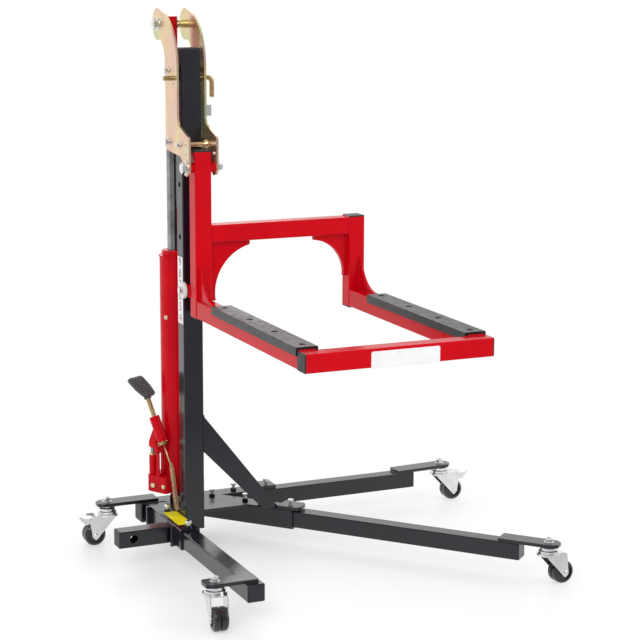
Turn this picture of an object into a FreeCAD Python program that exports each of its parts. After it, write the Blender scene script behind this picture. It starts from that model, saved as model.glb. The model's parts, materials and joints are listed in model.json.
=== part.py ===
import FreeCAD, Part
import math
import os

# Engine stand: a wheeled base with a square mast, a foot-pumped jack behind it and
# a lifting carriage that holds a rectangular carrier frame with two padded arms.
# Millimetres. The origin is on the floor under the middle of the mast, +Z up,
# +X along the carrier's top beam, -Y towards the carrier's open front.

vec = FreeCAD.Vector
X_AXIS = vec(1, 0, 0)
Y_AXIS = vec(0, 1, 0)
Z_AXIS = vec(0, 0, 1)

# Mast
mast_width = 60.0
mast_depth = 50.0
mast_wall = 3.0
mast_drop = 10.5
mast_length = 1417.0
mast_corner = 4.0
cap_head = 5.0
plug_depth = 14.0
plug_wall = 3.0
plug_clear = 0.3
lock_hole = 16.0
lock_pitch = 152.5
lock_below = 80.5
lock_count = 4

# Base tubes: legs slide in sleeves
leg_size = 50.0
leg_wall = 3.0
slide_gap = 0.3
sleeve_wall = 4.7
tube_corner = 4.0
plate_thick = 10.0

# Cross sleeve along Y on the mast's -X face, leg A slides in its front end
cross_front = -145.0
leg_a_front = -650.0
leg_a_back = 70.0

# Rear sleeve along X behind the jack, leg D slides in its +X end
rear_line = 185.0
rear_start = -104.0
rear_end = 336.0
leg_d_start = 160.0
leg_d_end = 820.0

# Diagonal sleeve, its line starts on the rear sleeve's middle line
diagonal_root = 91.3
diagonal_angle = -49.4
diagonal_sleeve = 335.0
leg_c_start = 150.0
leg_c_end = 1049.5

# Pads on the sleeves' ends
doubler_length = 70.0
doubler_over = 20.0

# Drawbar stub on the cross sleeve
drawbar_tip = -251.0
drawbar_line = -54.0
drawbar_hole = 25.0
drawbar_hole_inset = 41.0
rib_proud = 14.0
rib_wide = 9.0
rib_inset = 21.0

# Folded brace from the mast down to the diagonal sleeve, heights above the sleeves' tops
brace_turn = -4.0
brace_top = 304.5
brace_under = 195.5
brace_reach = 235.0
brace_heel = 187.0
brace_sheet = 4.0
brace_width = 50.0

# Flat bars that carry the casters
bar_width = 54.0
bar_tip = 32.0
bar_snip = 15.0
caster_a_side = 103.0
caster_a_inset = 38.0
caster_b_reach = 102.0
caster_b_back = 5.0
caster_c_reach = 84.6
caster_d_reach = 114.0
caster_d_back = 10.0
outrigger_lap = 54.0

# Casters
caster_height = 113.5
wheel_radius = 33.0
wheel_width = 19.0
wheel_gap = 3.0
wheel_clear = 0.08
brake_clear = 0.6
caster_trail = 43.0
axle_radius = 4.0
fork_sheet = 2.5
fork_clear = 2.0
fork_foot = 11.0
race_radius = 29.0
race_tall = 19.0
race_clear = 0.3
crown_lip = 4.0
stem_radius = 6.0
stem_nut_across = 20.0
stem_nut_tall = 11.0
stem_washer_radius = 14.0
stem_washer = 2.0
stem_proud = 16.5
stem_tip = 1.5
spacer_radius = 19.0
# headings of the forks at rest, from the swivel towards the axle
caster_a_heading = 264.0
caster_b_heading = 180.0
caster_c_heading = 5.0
caster_d_heading = 0.0

# Clamp bolts
clamp_radius = 5.0
clamp_clear = 0.1
hex_clamp = 17.0
weld_nut_tall = 8.0
cross_bolt_inset = 16.0
cross_bolt_back = 52.0
diagonal_bolt_first = 45.0
diagonal_bolt_second = 160.0
doubler_bolt_inset = 20.0
rear_bolt_inset = 131.0
rear_doubler_inset = 22.0

# Jack behind the mast
jack_line = 132.0
jack_bore = 42.0
jack_wall = 3.0
jack_floor = 4.0
block_radius = 50.0
block_tall = 58.0
jack_length = 654.0
collar_radius = 38.0
collar_tall = 19.0
ram_radius = 21.0
ram_clear = 0.05
piston_drop = 68.0
piston_tall = 35.0
ram_head_radius = 15.5
ram_head_length = 94.0
ram_head_over = 22.0
filler_drop = 180.0
foot_eye = 20.0
foot_neck = 34.0
lug_sheet = 6.0
lug_play = 0.5
foot_pin_rise = 15.5
foot_pin_radius = 6.0

# Pump and foot pedal: its swing plane stands at this angle about the jack
pedal_turn = 30.0
pedal_x = -62.5
pedal_front = 27.5
pedal_rise = 72.0
lug_pad = 4.0
lug_half = 7.5
plunger_arm = 29.0
plunger_radius = 7.0
plunger_clear = 0.05
pump_rise = 52.0
pump_radius = 11.5
gland_tall = 6.0
link_inner = 8.0
link_sheet = 5.0
link_wide = 10.0
link_pin = 5.0
socket_lean = 24.0
socket_back = -10.3
socket_rise = 25.6
socket_length = 80.0
socket_radius = 15.5
shaft_radius = 7.0
shaft_length = 150.0
flange_radius = 18.0
flange_sheet = 2.5
flange_nut = 7.0
pad_lean = 54.0
pad_long = 78.0
pad_wide = 64.0
pad_thick = 7.0
lobe_side = 18.0
lobe_front = -38.0
lobe_back = 41.0
valve_ahead = 9.0
plug_ahead = -28.0
valve_rise = 22.0
valve_radius = 5.0
valve_depth = 9.0
spring_radius = 7.5
spring_wire = 1.9
spring_front = -44.0
spring_drop = 48.0
spring_foot_x = -33.0
spring_foot_gap = 19.0
anchor_tall = 4.0
hook_radius = 2.6

# Carriage side plates
side_gap = 9.0
side_sheet = 6.0
side_back = 70.0
side_proud = 3.0
neck_radius = 158.0
neck_drop = 115.0
throat_radius = 82.0
throat_drop = 110.0
waist_rise = 132.0
shoulder_rise = 36.0
shoulder_step = 18.0
shoulder_nose = 24.0
nose_rise = 28.0
lobe_lap = 8.0
lobe_rise = 85.0
chin_rise = 119.0
pivot_below = 246.5
pivot_ahead = 6.0
pivot_lobe = 24.0
ram_bolt_above = 147.5
ram_lobe = 46.0
roller_upper_above = 19.5
roller_lower_above = 61.0
roller_radius = 23.5
roller_run = 0.5
lug_above = 70.0
lug_inner = 20.0
lug_cheek = 6.0
guide_radius = 10.5
disc_radius = 23.5
disc_wide = 8.0
lug_bolt = 6.0
ram_bolt_radius = 9.0
ram_bolt_across = 28.0
pivot_radius = 10.0
pivot_across = 30.0
pivot_nut = 22.0
roller_bolt = 6.0
roller_half = 26.0
tie_above = 60.0
tie_ahead = 17.0
tie_radius = 5.0
bolt_clear = 0.05
plate_screws = (38.0, 65.0)
plate_screw_radius = 2.9
lock_pin_radius = 7.0
handle_reach = 27.0
handle_bend = 14.0
handle_drop = 56.0
stud_length = 44.5

# Carrier frame
carrier_tube = 50.0
carrier_wall = 3.0
post_gap = 42.0
post_over = 45.0
post_length = 477.0
right_post_x = 482.0
beam_rise = 217.0
front_bar_back = -849.0
front_bar_left = -24.0
front_bar_over = 26.0
gusset_sheet = 14.0
gusset_end = 14.0
left_gusset_along = 123.0
left_gusset_down = 172.0
left_gusset_tail = 17.0
right_gusset_along = 106.0
right_gusset_down = 126.0
right_gusset_tail = 10.0
arm_gusset_sheet = 7.0
arm_gusset_tall = 95.0
arm_gusset_long = 112.0
cap_sheet = 4.0

# Pads on the arms
pad_cap_width = 62.0
pad_cap_start = -252.0
pad_cap_sheet = 9.0
pad_cap_skirt = 13.0
pad_cap_gap = 0.3
pad_screw_inset = 31.7
pad_screw_count = 4
pad_screw_head = 10.0
pad_screw_radius = 3.9

# Levels and lines that follow from the sizes above
sleeve_size = leg_size + 2 * (slide_gap + sleeve_wall)
leg_top = caster_height
sleeve_mid = leg_top - leg_size / 2
sleeve_top = sleeve_mid + sleeve_size / 2
crown_top = caster_height - race_tall - race_clear
mast_foot = sleeve_mid - mast_drop
mast_top = mast_foot + mast_length
cross_line = -(mast_width + sleeve_size) / 2
rear_front = rear_line - sleeve_size / 2

lock_z = mast_top - lock_below
pivot_z = lock_z - pivot_below
ram_bolt_z = lock_z + ram_bolt_above
roller_upper_z = lock_z + roller_upper_above
roller_lower_z = pivot_z + roller_lower_above
tie_z = pivot_z + tie_above
side_inner = mast_width / 2 + side_gap
side_outer = side_inner + side_sheet
side_front = -(mast_depth / 2 + side_proud)
roller_y = mast_depth / 2 + roller_run + roller_radius
tie_y = -(mast_depth / 2 + tie_ahead)
lug_y = -(mast_depth / 2 + roller_run + guide_radius)
handle_x = side_outer + handle_reach

post_back = -(mast_depth / 2 + post_gap)
post_line = post_back - carrier_tube / 2
pivot_y = post_line - pivot_ahead
left_post_top = pivot_z + post_over
post_low = left_post_top - post_length
lug_z = post_low + lug_above
beam_low = post_low + beam_rise
right_post_top = beam_low + carrier_tube
arm_top = post_low + carrier_tube
front_bar_line = front_bar_back - carrier_tube / 2
front_bar_right = right_post_x + front_bar_over
pad_end = front_bar_back + 0.5
pad_screw_first = pad_cap_start - pad_screw_inset
pad_screw_pitch = (pad_screw_first - pad_screw_inset - pad_end) / (pad_screw_count - 1)

jack_radius = jack_bore + jack_wall
foot_pin_z = sleeve_top + foot_pin_rise
jack_bottom = foot_pin_z + foot_neck
block_top = jack_bottom + block_tall
jack_top = block_top + jack_length
collar_top = jack_top + collar_tall
ram_bottom = jack_top - piston_drop
ram_head_top = ram_bolt_z + ram_head_over
ram_top = ram_head_top - ram_head_length
pump_top = block_top + pump_rise
pedal_z = block_top + pedal_rise

swing = vec(-math.sin(math.radians(pedal_turn)), math.cos(math.radians(pedal_turn)), 0)
hinge = vec(math.cos(math.radians(pedal_turn)), math.sin(math.radians(pedal_turn)), 0)
pedal_pivot = vec(pedal_x, jack_line - pedal_front, pedal_z)
socket_way = swing * math.sin(math.radians(socket_lean)) + vec(0, 0, math.cos(math.radians(socket_lean)))
socket_foot = pedal_pivot + swing * socket_back + vec(0, 0, socket_rise)
shaft_tip = socket_foot + socket_way * shaft_length

diagonal = vec(math.cos(math.radians(diagonal_angle)), math.sin(math.radians(diagonal_angle)), 0)
diagonal_side = Z_AXIS.cross(diagonal)
diagonal_start = vec(diagonal_root, rear_line, 0)

bolt_a = vec(cross_line - caster_a_side, leg_a_front + caster_a_inset, 0)
bolt_b = vec(rear_start - caster_b_reach, rear_line + caster_b_back, 0)
bolt_c = diagonal_start + diagonal * (leg_c_end + caster_c_reach)
bolt_d = vec(leg_d_end + caster_d_reach, rear_line + caster_d_back, 0)

# Clamp bolts' places along the sleeves
cross_bolts = [vec(cross_line, cross_front + cross_bolt_inset, 0), vec(cross_line, cross_bolt_back, 0)]
diagonal_bolts = [diagonal_start + diagonal * run for run in (diagonal_bolt_first, diagonal_bolt_second)]
rear_bolts = [vec(rear_end - rear_bolt_inset, rear_line, 0)]
plain_bolts = cross_bolts + diagonal_bolts + rear_bolts
doubler_bolt = diagonal_start + diagonal * (diagonal_sleeve - doubler_bolt_inset)
raised_bolts = [doubler_bolt, vec(rear_end - rear_doubler_inset, rear_line, 0)]

parts = {}


def block(x0, x1, y0, y1, z0, z1):
    return Part.makeBox(x1 - x0, y1 - y0, z1 - z0, vec(x0, y0, z0))


def rod(start, direction, radius, length):
    return Part.makeCylinder(radius, length, start, direction)


def rod_between(start, end, radius):
    run = end - start
    return rod(start, run, radius, run.Length)


def fused(shapes):
    return shapes[0].fuse(shapes[1:]).removeSplitter()


def rounded_face(points, radii):
    # a flat outline of straight sides with every corner turned on its own radius
    count = len(points)
    entries = []
    leaves = []
    arcs = []
    for index, corner in enumerate(points):
        radius = radii[index] if isinstance(radii, (list, tuple)) else radii
        before = (points[index - 1] - corner).normalize()
        after = (points[(index + 1) % count] - corner).normalize()
        if radius == 0:
            entries.append(corner)
            leaves.append(corner)
            arcs.append(None)
            continue
        half = before.getAngle(after) / 2
        run = radius / math.tan(half)
        middle = corner + (before + after).normalize() * (radius / math.sin(half) - radius)
        entries.append(corner + before * run)
        leaves.append(corner + after * run)
        arcs.append(Part.Arc(entries[-1], middle, leaves[-1]).toShape())
    edges = []
    for index in range(count):
        if arcs[index]:
            edges.append(arcs[index])
        following = entries[(index + 1) % count]
        if (following - leaves[index]).Length > 0.001:
            edges.append(Part.LineSegment(leaves[index], following).toShape())
    return Part.Face(Part.Wire(edges))


def rectangle(middle, side, rise, width, height, radius):
    corners = []
    for u, w in ((-1, -1), (1, -1), (1, 1), (-1, 1)):
        corners.append(middle + side * (u * width / 2) + rise * (w * height / 2))
    return rounded_face(corners, radius)


def square_tube(start, direction, side, width, height, wall, length, corner=tube_corner):
    rise = direction.cross(side)
    outer = rectangle(start, side, rise, width, height, corner).extrude(direction * length)
    inner_corner = max(corner - wall, 1.0)
    inner = rectangle(start, side, rise, width - 2 * wall, height - 2 * wall, inner_corner)
    return outer.cut(inner.extrude(direction * length))


def tube_cap(middle, outward, side, width, height, wall, head):
    # a plastic insert: a head with softened edges and a hollow plug inside the tube
    rise = outward.cross(side)
    inward = outward * -plug_depth
    top = rectangle(middle, side, rise, width, height, tube_corner).extrude(outward * head)
    rim = [edge for edge in top.Edges if abs((edge.CenterOfMass - middle).dot(outward) - head) < 0.01]
    top = top.makeChamfer(min(head * 0.45, 2.0), rim)
    plug_width = width - 2 * (wall + plug_clear)
    plug_height = height - 2 * (wall + plug_clear)
    plug = rectangle(middle, side, rise, plug_width, plug_height, 0).extrude(inward)
    hollow = rectangle(middle, side, rise, plug_width - 2 * plug_wall, plug_height - 2 * plug_wall, 0)
    return top.fuse(plug.cut(hollow.extrude(inward))).removeSplitter()


def hexagon_ring(across, level):
    corners = []
    for step in range(6):
        angle = math.radians(60 * step)
        spoke = vec(math.cos(angle), math.sin(angle), 0)
        corners.append(spoke * (across / math.sqrt(3)) + vec(0, 0, level))
    return Part.makePolygon(corners + corners[:1])


def hexagon(middle, axis, across, height):
    # six-sided head or nut, its outer rim bevelled
    bevel = across * 0.06
    shoulder = height - bevel
    body = Part.Face(hexagon_ring(across, 0)).extrude(vec(0, 0, shoulder))
    rings = [hexagon_ring(across, shoulder), hexagon_ring(across - 2 * bevel, height)]
    rim = Part.makeLoft(rings, True, True)
    return along(body.fuse(rim).removeSplitter(), middle, axis)


def turned(profile, radii=0):
    points = [vec(r, 0, z) for r, z in profile]
    return rounded_face(points, radii).revolve(vec(0, 0, 0), Z_AXIS, 360)


def along(shape, base, axis):
    moved = shape.copy()
    moved.Placement = FreeCAD.Placement(base, FreeCAD.Rotation(Z_AXIS, axis))
    return moved


# ---- base ----------------------------------------------------------------

def make_mast():
    tube = square_tube(vec(0, 0, mast_foot), Z_AXIS, X_AXIS, mast_width, mast_depth,
                       mast_wall, mast_top - mast_foot, mast_corner)
    for step in range(lock_count):
        middle = vec(-mast_width, 0, lock_z - step * lock_pitch)
        tube = tube.cut(rod(middle, X_AXIS, lock_hole / 2, 2 * mast_width))
    return tube


def clamp_hole(x, y, top):
    return rod(vec(x, y, leg_top), Z_AXIS, clamp_radius + clamp_clear, top - leg_top)


def clamp_nut(x, y, base):
    nut = hexagon(vec(x, y, base), Z_AXIS, hex_clamp, weld_nut_tall)
    return nut.cut(rod(vec(x, y, base), Z_AXIS, clamp_radius + clamp_clear, weld_nut_tall))


def clamp_bolt(x, y, base):
    shank_top = base + weld_nut_tall + 8
    shank = rod(vec(x, y, leg_top + slide_gap), Z_AXIS, clamp_radius, shank_top - leg_top - slide_gap)
    head = hexagon(vec(x, y, shank_top), Z_AXIS, hex_clamp - 1, 7)
    return shank.fuse(head).removeSplitter()


def on_diagonal(distance):
    return diagonal_start + diagonal * distance


def drilled(shape):
    for spot in plain_bolts + raised_bolts:
        shape = shape.cut(clamp_hole(spot.x, spot.y, sleeve_top + plate_thick))
    return shape


def make_cross_sleeve():
    tube = square_tube(vec(cross_line, cross_front, sleeve_mid), Y_AXIS, X_AXIS, sleeve_size,
                       sleeve_size, sleeve_wall, rear_front - cross_front)
    face = cross_line - sleeve_size / 2
    low = sleeve_mid - sleeve_size / 2
    ribs = []
    for y in (drawbar_line - leg_size / 2 - rib_inset, rear_front - rib_inset - 2 * rib_wide):
        rib = rounded_face([vec(face, y, low), vec(face - rib_proud, y, low),
                            vec(face - rib_proud, y + rib_wide, low), vec(face, y + rib_wide, low)],
                           [0, 3, 3, 0])
        ribs.append(rib.extrude(vec(0, 0, sleeve_size)))
    return drilled(fused([tube] + ribs))


def make_rear_sleeve():
    tube = square_tube(vec(rear_start, rear_line, sleeve_mid), X_AXIS, Y_AXIS, sleeve_size,
                       sleeve_size, sleeve_wall, rear_end - rear_start)
    return drilled(tube)


def make_diagonal_sleeve():
    tube = square_tube(diagonal_start + vec(0, 0, sleeve_mid), diagonal, diagonal_side, sleeve_size,
                       sleeve_size, sleeve_wall, diagonal_sleeve)
    reach = 2 * sleeve_size
    behind = block(diagonal_root - reach, diagonal_root + reach, rear_front, rear_front + reach, 0,
                   sleeve_top + 1)
    return drilled(tube.cut(behind))


def make_hub_plates():
    # a web between the sleeves, level with their tops, and two lugs for the jack's foot
    near = diagonal_start - diagonal_side * (sleeve_size / 2)
    slope = diagonal.y / diagonal.x
    back = rear_front
    front = mast_depth / 2
    corners = [vec(-mast_width / 2, front, 0), vec(near.x + (front - near.y) / slope, front, 0),
               vec(near.x + (back - near.y) / slope, back, 0), vec(-mast_width / 2, back, 0)]
    web = Part.Face(Part.makePolygon(corners + corners[:1])).extrude(vec(0, 0, plate_thick))
    web.translate(vec(0, 0, sleeve_top - plate_thick))
    pieces = [web]
    half = 3 * foot_pin_radius
    top = foot_pin_z + half - 4
    for offset in (-foot_eye / 2 - lug_sheet - lug_play, foot_eye / 2 + lug_play):
        y = jack_line + offset
        lug = rounded_face([vec(-half, y, sleeve_top), vec(half, y, sleeve_top), vec(half, y, top),
                            vec(-half, y, top)], [0, 0, 12, 12]).extrude(vec(0, lug_sheet, 0))
        hole = rod(vec(0, y, foot_pin_z), Y_AXIS, foot_pin_radius + bolt_clear, lug_sheet)
        pieces.append(lug.cut(hole))
    return pieces


def make_doublers():
    # thick pads on the sleeve ends that take the end clamp bolts
    start = on_diagonal(diagonal_sleeve + doubler_over - doubler_length) + vec(0, 0, sleeve_top)
    end = start + diagonal * doubler_length
    half = diagonal_side * (sleeve_size / 2)
    diagonal_pad = rounded_face([start - half, end - half, end + half, start + half],
                                [0, 14, 14, 0]).extrude(vec(0, 0, plate_thick))
    rear_pad = block(rear_end - 50, rear_end, rear_line - sleeve_size / 2,
                     rear_line + sleeve_size / 2, sleeve_top, sleeve_top + plate_thick)
    return [drilled(diagonal_pad), drilled(rear_pad)]


def make_drawbar():
    joint = cross_line - sleeve_size / 2
    tube = square_tube(vec(drawbar_tip, drawbar_line, sleeve_mid), X_AXIS, Y_AXIS, leg_size,
                       leg_size, leg_wall, joint - drawbar_tip)
    hole = vec(drawbar_tip + drawbar_hole_inset, drawbar_line - leg_size, sleeve_mid)
    return tube.cut(rod(hole, Y_AXIS, drawbar_hole / 2, 2 * leg_size))


def make_brace():
    # a folded channel, open on its underside, tapering from the mast to the diagonal sleeve
    start = -20.0
    top = sleeve_top + brace_top
    under = sleeve_top + brace_under
    rise = brace_top / brace_reach
    fall = brace_under / brace_heel
    outer = [vec(start, 0, top - start * rise), vec(brace_reach, 0, sleeve_top),
             vec(brace_heel, 0, sleeve_top), vec(start, 0, under - start * fall)]
    slant = brace_sheet / math.sin(math.atan(rise))
    inside = [point - vec(slant, 0, 0) for point in outer[:2]]
    inside += [vec(5 * start, 0, sleeve_top), vec(5 * start, 0, top)]
    solid = Part.Face(Part.makePolygon(outer + outer[:1])).extrude(vec(0, brace_width, 0))
    inner_width = brace_width - 2 * brace_sheet
    hollow = Part.Face(Part.makePolygon(inside + inside[:1])).extrude(vec(0, inner_width, 0))
    hollow.translate(vec(0, brace_sheet, 0))
    channel = solid.cut(hollow)
    channel.translate(vec(0, -brace_width / 2, 0))
    channel.rotate(vec(0, 0, 0), Z_AXIS, brace_turn)
    channel.translate(vec(mast_width / 2, 0, 0))
    return channel.common(block(mast_width / 2, mast_width / 2 + 2 * brace_reach, -2 * brace_width,
                                2 * brace_width, 0, 2 * top))


def make_leg_a():
    tube = square_tube(vec(cross_line, leg_a_front, sleeve_mid), Y_AXIS, X_AXIS, leg_size,
                       leg_size, leg_wall, leg_a_back - leg_a_front)
    right = cross_line + leg_size / 2 - 12
    left = bolt_a.x - bar_tip
    front = bolt_a.y - bar_width / 2
    back = bolt_a.y + bar_width / 2
    bar = rounded_face([vec(left, front, leg_top), vec(right, front, leg_top),
                        vec(right, back, leg_top), vec(left, back, leg_top)],
                       [12, 3, 8, 12]).extrude(vec(0, 0, plate_thick))
    bar = bar.cut(bar_hole(bolt_a))
    cap = tube_cap(vec(cross_line, leg_a_front, sleeve_mid), vec(0, -1, 0), X_AXIS, leg_size,
                   leg_size, leg_wall, cap_sheet)
    return [tube, bar, cap]


def make_leg_c():
    level = vec(0, 0, sleeve_mid)
    tube = square_tube(on_diagonal(leg_c_start) + level, diagonal, diagonal_side, leg_size, leg_size,
                       leg_wall, leg_c_end - leg_c_start)
    bar = caster_bar(on_diagonal(leg_c_end - 60), bolt_c, leg_top)
    cap = tube_cap(on_diagonal(leg_c_end) + level, diagonal, diagonal_side, leg_size, leg_size,
                   leg_wall, cap_sheet)
    return [tube, bar, cap]


def make_leg_d():
    level = vec(0, 0, sleeve_mid)
    tube = square_tube(vec(leg_d_start, rear_line, 0) + level, X_AXIS, Y_AXIS, leg_size, leg_size,
                       leg_wall, leg_d_end - leg_d_start)
    bar = caster_bar(vec(leg_d_end - 55, rear_line, 0), bolt_d, leg_top)
    cap = tube_cap(vec(leg_d_end, rear_line, 0) + level, X_AXIS, Y_AXIS, leg_size, leg_size,
                   leg_wall, cap_sheet)
    return [tube, bar, cap]


def caster_bar(start, bolt, bottom):
    # flat bar from the leg's end out over a caster, both corners of its tip snipped off
    run = bolt - start
    ahead = vec(run.x, run.y, 0).normalize()
    side = Z_AXIS.cross(ahead) * (bar_width / 2)
    snip = ahead * bar_snip
    shoulder = side * (1 - 2 * bar_snip / bar_width)
    base = vec(start.x, start.y, bottom)
    tip = vec(bolt.x, bolt.y, bottom) + ahead * bar_tip
    outline = [base - side, tip - side - snip, tip - shoulder,
               tip + shoulder, tip + side - snip, base + side]
    bar = Part.Face(Part.makePolygon(outline + outline[:1])).extrude(vec(0, 0, plate_thick))
    return bar.cut(bar_hole(bolt))


def bar_hole(bolt):
    return rod(vec(bolt.x, bolt.y, 0), Z_AXIS, stem_radius + clamp_clear, sleeve_top + 2 * plate_thick)


def make_outrigger():
    inner = vec(rear_start + outrigger_lap, bolt_b.y, 0)
    return caster_bar(inner, bolt_b, sleeve_top)


def make_base_caps():
    size = sleeve_size
    rear = tube_cap(vec(rear_start, rear_line, sleeve_mid), vec(-1, 0, 0), Y_AXIS, size, size,
                    sleeve_wall, cap_sheet)
    drawbar = tube_cap(vec(drawbar_tip, drawbar_line, sleeve_mid), vec(-1, 0, 0), Y_AXIS, leg_size,
                       leg_size, leg_wall, cap_sheet)
    return [rear, drawbar]


# ---- casters ---------------------------------------------------------------

def caster_mount(bolt, bar_bottom):
    # fixed half of the swivel: nut, washer and stem above, domed race below the bar
    bar_top = bar_bottom + plate_thick
    bore = stem_radius + clamp_clear
    washer_top = bar_top + stem_washer
    stem_top = bar_top + stem_proud
    washer = turned([(bore, bar_top), (stem_washer_radius, bar_top), (stem_washer_radius, washer_top),
                     (bore, washer_top)])
    nut = hexagon(vec(0, 0, washer_top), Z_AXIS, stem_nut_across, stem_nut_tall)
    nut = nut.cut(rod(vec(0, 0, bar_top), Z_AXIS, stem_radius, 2 * stem_proud))
    rivet = crown_top - fork_sheet - clamp_clear
    stem = turned([(0, rivet - 4), (9, rivet - 4), (10.5, rivet - 2), (10.5, rivet), (stem_radius, rivet),
                   (stem_radius, stem_top - stem_tip), (stem_radius - stem_tip, stem_top), (0, stem_top)])
    skirt = caster_height - race_tall
    ceiling = caster_height - race_tall / 2
    race = turned([(stem_radius, caster_height), (race_radius - 9, caster_height),
                   (race_radius - 4, caster_height - 3), (race_radius - 4, skirt + 9),
                   (race_radius, skirt + 7), (race_radius, skirt), (race_radius - 3, skirt),
                   (race_radius - 8, ceiling), (stem_radius, ceiling)])
    pieces = [washer, nut, stem, race]
    if bar_bottom > caster_height + race_clear:
        spacer = turned([(bore, caster_height), (spacer_radius, caster_height), (spacer_radius, bar_bottom),
                         (bore, bar_bottom)])
        pieces.append(spacer)
    for piece in pieces:
        piece.translate(vec(bolt.x, bolt.y, 0))
    return pieces


def caster_fork(braked):
    # one pressing: round crown with its rim turned down, two legs that taper to the axle
    half = wheel_width + wheel_gap / 2 + fork_clear
    outer = half + fork_sheet
    high = crown_top - fork_sheet
    rim = race_radius + 5
    lip = high - crown_lip
    crown = turned([(0, high), (rim - fork_sheet, high), (rim - fork_sheet, lip), (rim, lip),
                    (rim, crown_top), (0, crown_top)])
    deck = rounded_face([vec(-16, -outer, crown_top), vec(40, -outer, crown_top),
                         vec(40, outer, crown_top), vec(-16, outer, crown_top)],
                        3).extrude(vec(0, 0, -fork_sheet))
    pieces = [crown, deck]
    rear = caster_trail + (15 if braked else 3)
    for y in (-outer, half):
        outline = [vec(-18, y, high), vec(rear, y, high), vec(rear + 3, y, high - 12),
                   vec(caster_trail + fork_foot, y, wheel_radius - 4),
                   vec(caster_trail, y, wheel_radius - 1.4 * fork_foot),
                   vec(caster_trail - fork_foot, y, wheel_radius - 4), vec(-18, y, high - 8)]
        pieces.append(rounded_face(outline, [0, 0, 8, 6, 5, 6, 5]).extrude(vec(0, fork_sheet, 0)))
    fork = fused(pieces)
    axle_start = vec(caster_trail, -2 * outer, wheel_radius)
    fork = fork.cut(rod(axle_start, Y_AXIS, axle_radius + bolt_clear, 4 * outer))
    fork = fork.cut(rod(vec(0, 0, high - 1), Z_AXIS, stem_radius + clamp_clear, fork_sheet + 2))
    axle = rod(vec(caster_trail, -outer, wheel_radius), Y_AXIS, axle_radius, 2 * outer)
    heads = []
    for way in (-1, 1):
        head = turned([(0, 0), (6.5, 0), (6.5, 1), (4, 3), (0, 3)])
        heads.append(along(head, vec(caster_trail, way * outer, wheel_radius), vec(0, way, 0)))
    return [fork, fused([axle] + heads)]


def caster_wheels():
    # twin wheels on one axle: tread with bevelled shoulders, dished face, raised hub
    pieces = []
    bore = axle_radius + wheel_clear
    for way in (-1, 1):
        inner = wheel_gap / 2
        outer = inner + wheel_width
        profile = [(bore, inner), (wheel_radius - 2, inner), (wheel_radius, inner + 2),
                   (wheel_radius, outer - 6), (wheel_radius - 1.5, outer - 3), (wheel_radius - 5, outer),
                   (wheel_radius - 10, outer), (wheel_radius - 12, outer - 4), (12, outer - 4),
                   (10, outer + 1), (bore, outer + 1)]
        pieces.append(along(turned(profile), vec(caster_trail, 0, wheel_radius), vec(0, way, 0)))
    return pieces


def caster_brake():
    # stamped pedal pivoted across the fork above the wheel, its toe turned up
    half = wheel_width + wheel_gap / 2 + fork_clear - brake_clear
    pivot = vec(caster_trail + 8, 0, crown_top - fork_sheet - 11.7)
    outline = [(-8, -7), (22, -12), (31, -3), (43, 11), (40, 15), (27, 9), (10, 8), (-8, 7)]
    points = [vec(pivot.x + x, -half, pivot.z + z) for x, z in outline]
    solid = rounded_face(points, [5, 4, 8, 2, 2, 8, 8, 5]).extrude(vec(0, 2 * half, 0))
    inside = [(-20, -30), (52, -30), (33, -3), (26, 6), (10, 5), (-20, 5)]
    inner = [vec(pivot.x + x, fork_sheet - half, pivot.z + z) for x, z in inside]
    return solid.cut(rounded_face(inner, 0).extrude(vec(0, 2 * (half - fork_sheet), 0)))


def add_caster(letter, bolt, heading, bar_bottom, braked):
    turn = FreeCAD.Placement(vec(bolt.x, bolt.y, 0), FreeCAD.Rotation(Z_AXIS, heading))
    parts["caster_%s_mount" % letter] = caster_mount(bolt, bar_bottom)
    pieces = {"fork": caster_fork(braked), "wheels": caster_wheels()}
    if braked:
        pieces["brake"] = [caster_brake()]
    for name, shapes in pieces.items():
        parts["caster_%s_%s" % (letter, name)] = [moved(shape, turn) for shape in shapes]


def moved(shape, placement):
    copy = shape.copy()
    copy.Placement = placement.multiply(copy.Placement)
    return copy


# ---- jack ------------------------------------------------------------------

def make_jack_cylinder():
    tube = turned([(0, block_top), (jack_radius, block_top), (jack_radius, jack_top),
                   (jack_bore, jack_top), (jack_bore, block_top + jack_floor), (0, block_top + jack_floor)])
    bore = ram_radius + ram_clear
    collar = turned([(bore, jack_top), (jack_radius + 2, jack_top), (jack_radius + 2, jack_top + 4),
                     (collar_radius, jack_top + 6), (collar_radius, collar_top - 3),
                     (collar_radius - 3, collar_top), (bore, collar_top)])
    pieces = [tube, collar]
    for piece in pieces:
        piece.translate(vec(0, jack_line, 0))
    return pieces


def pump_point(ahead, side, z):
    # a point named by its run ahead of the pedal's pivot, its offset along the hinge, its height
    return vec(pedal_pivot.x, pedal_pivot.y, z) + swing * ahead + hinge * side


def pump_slab(outline, side, thick, radii):
    # plate standing in the pedal's swing plane, heights counted from the pivot
    points = [pump_point(ahead, side, pedal_z + rise) for ahead, rise in outline]
    return rounded_face(points, radii).extrude(hinge * thick)


def valve_seat():
    return pump_point(valve_ahead, -lobe_side, jack_bottom + valve_rise)


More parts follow.
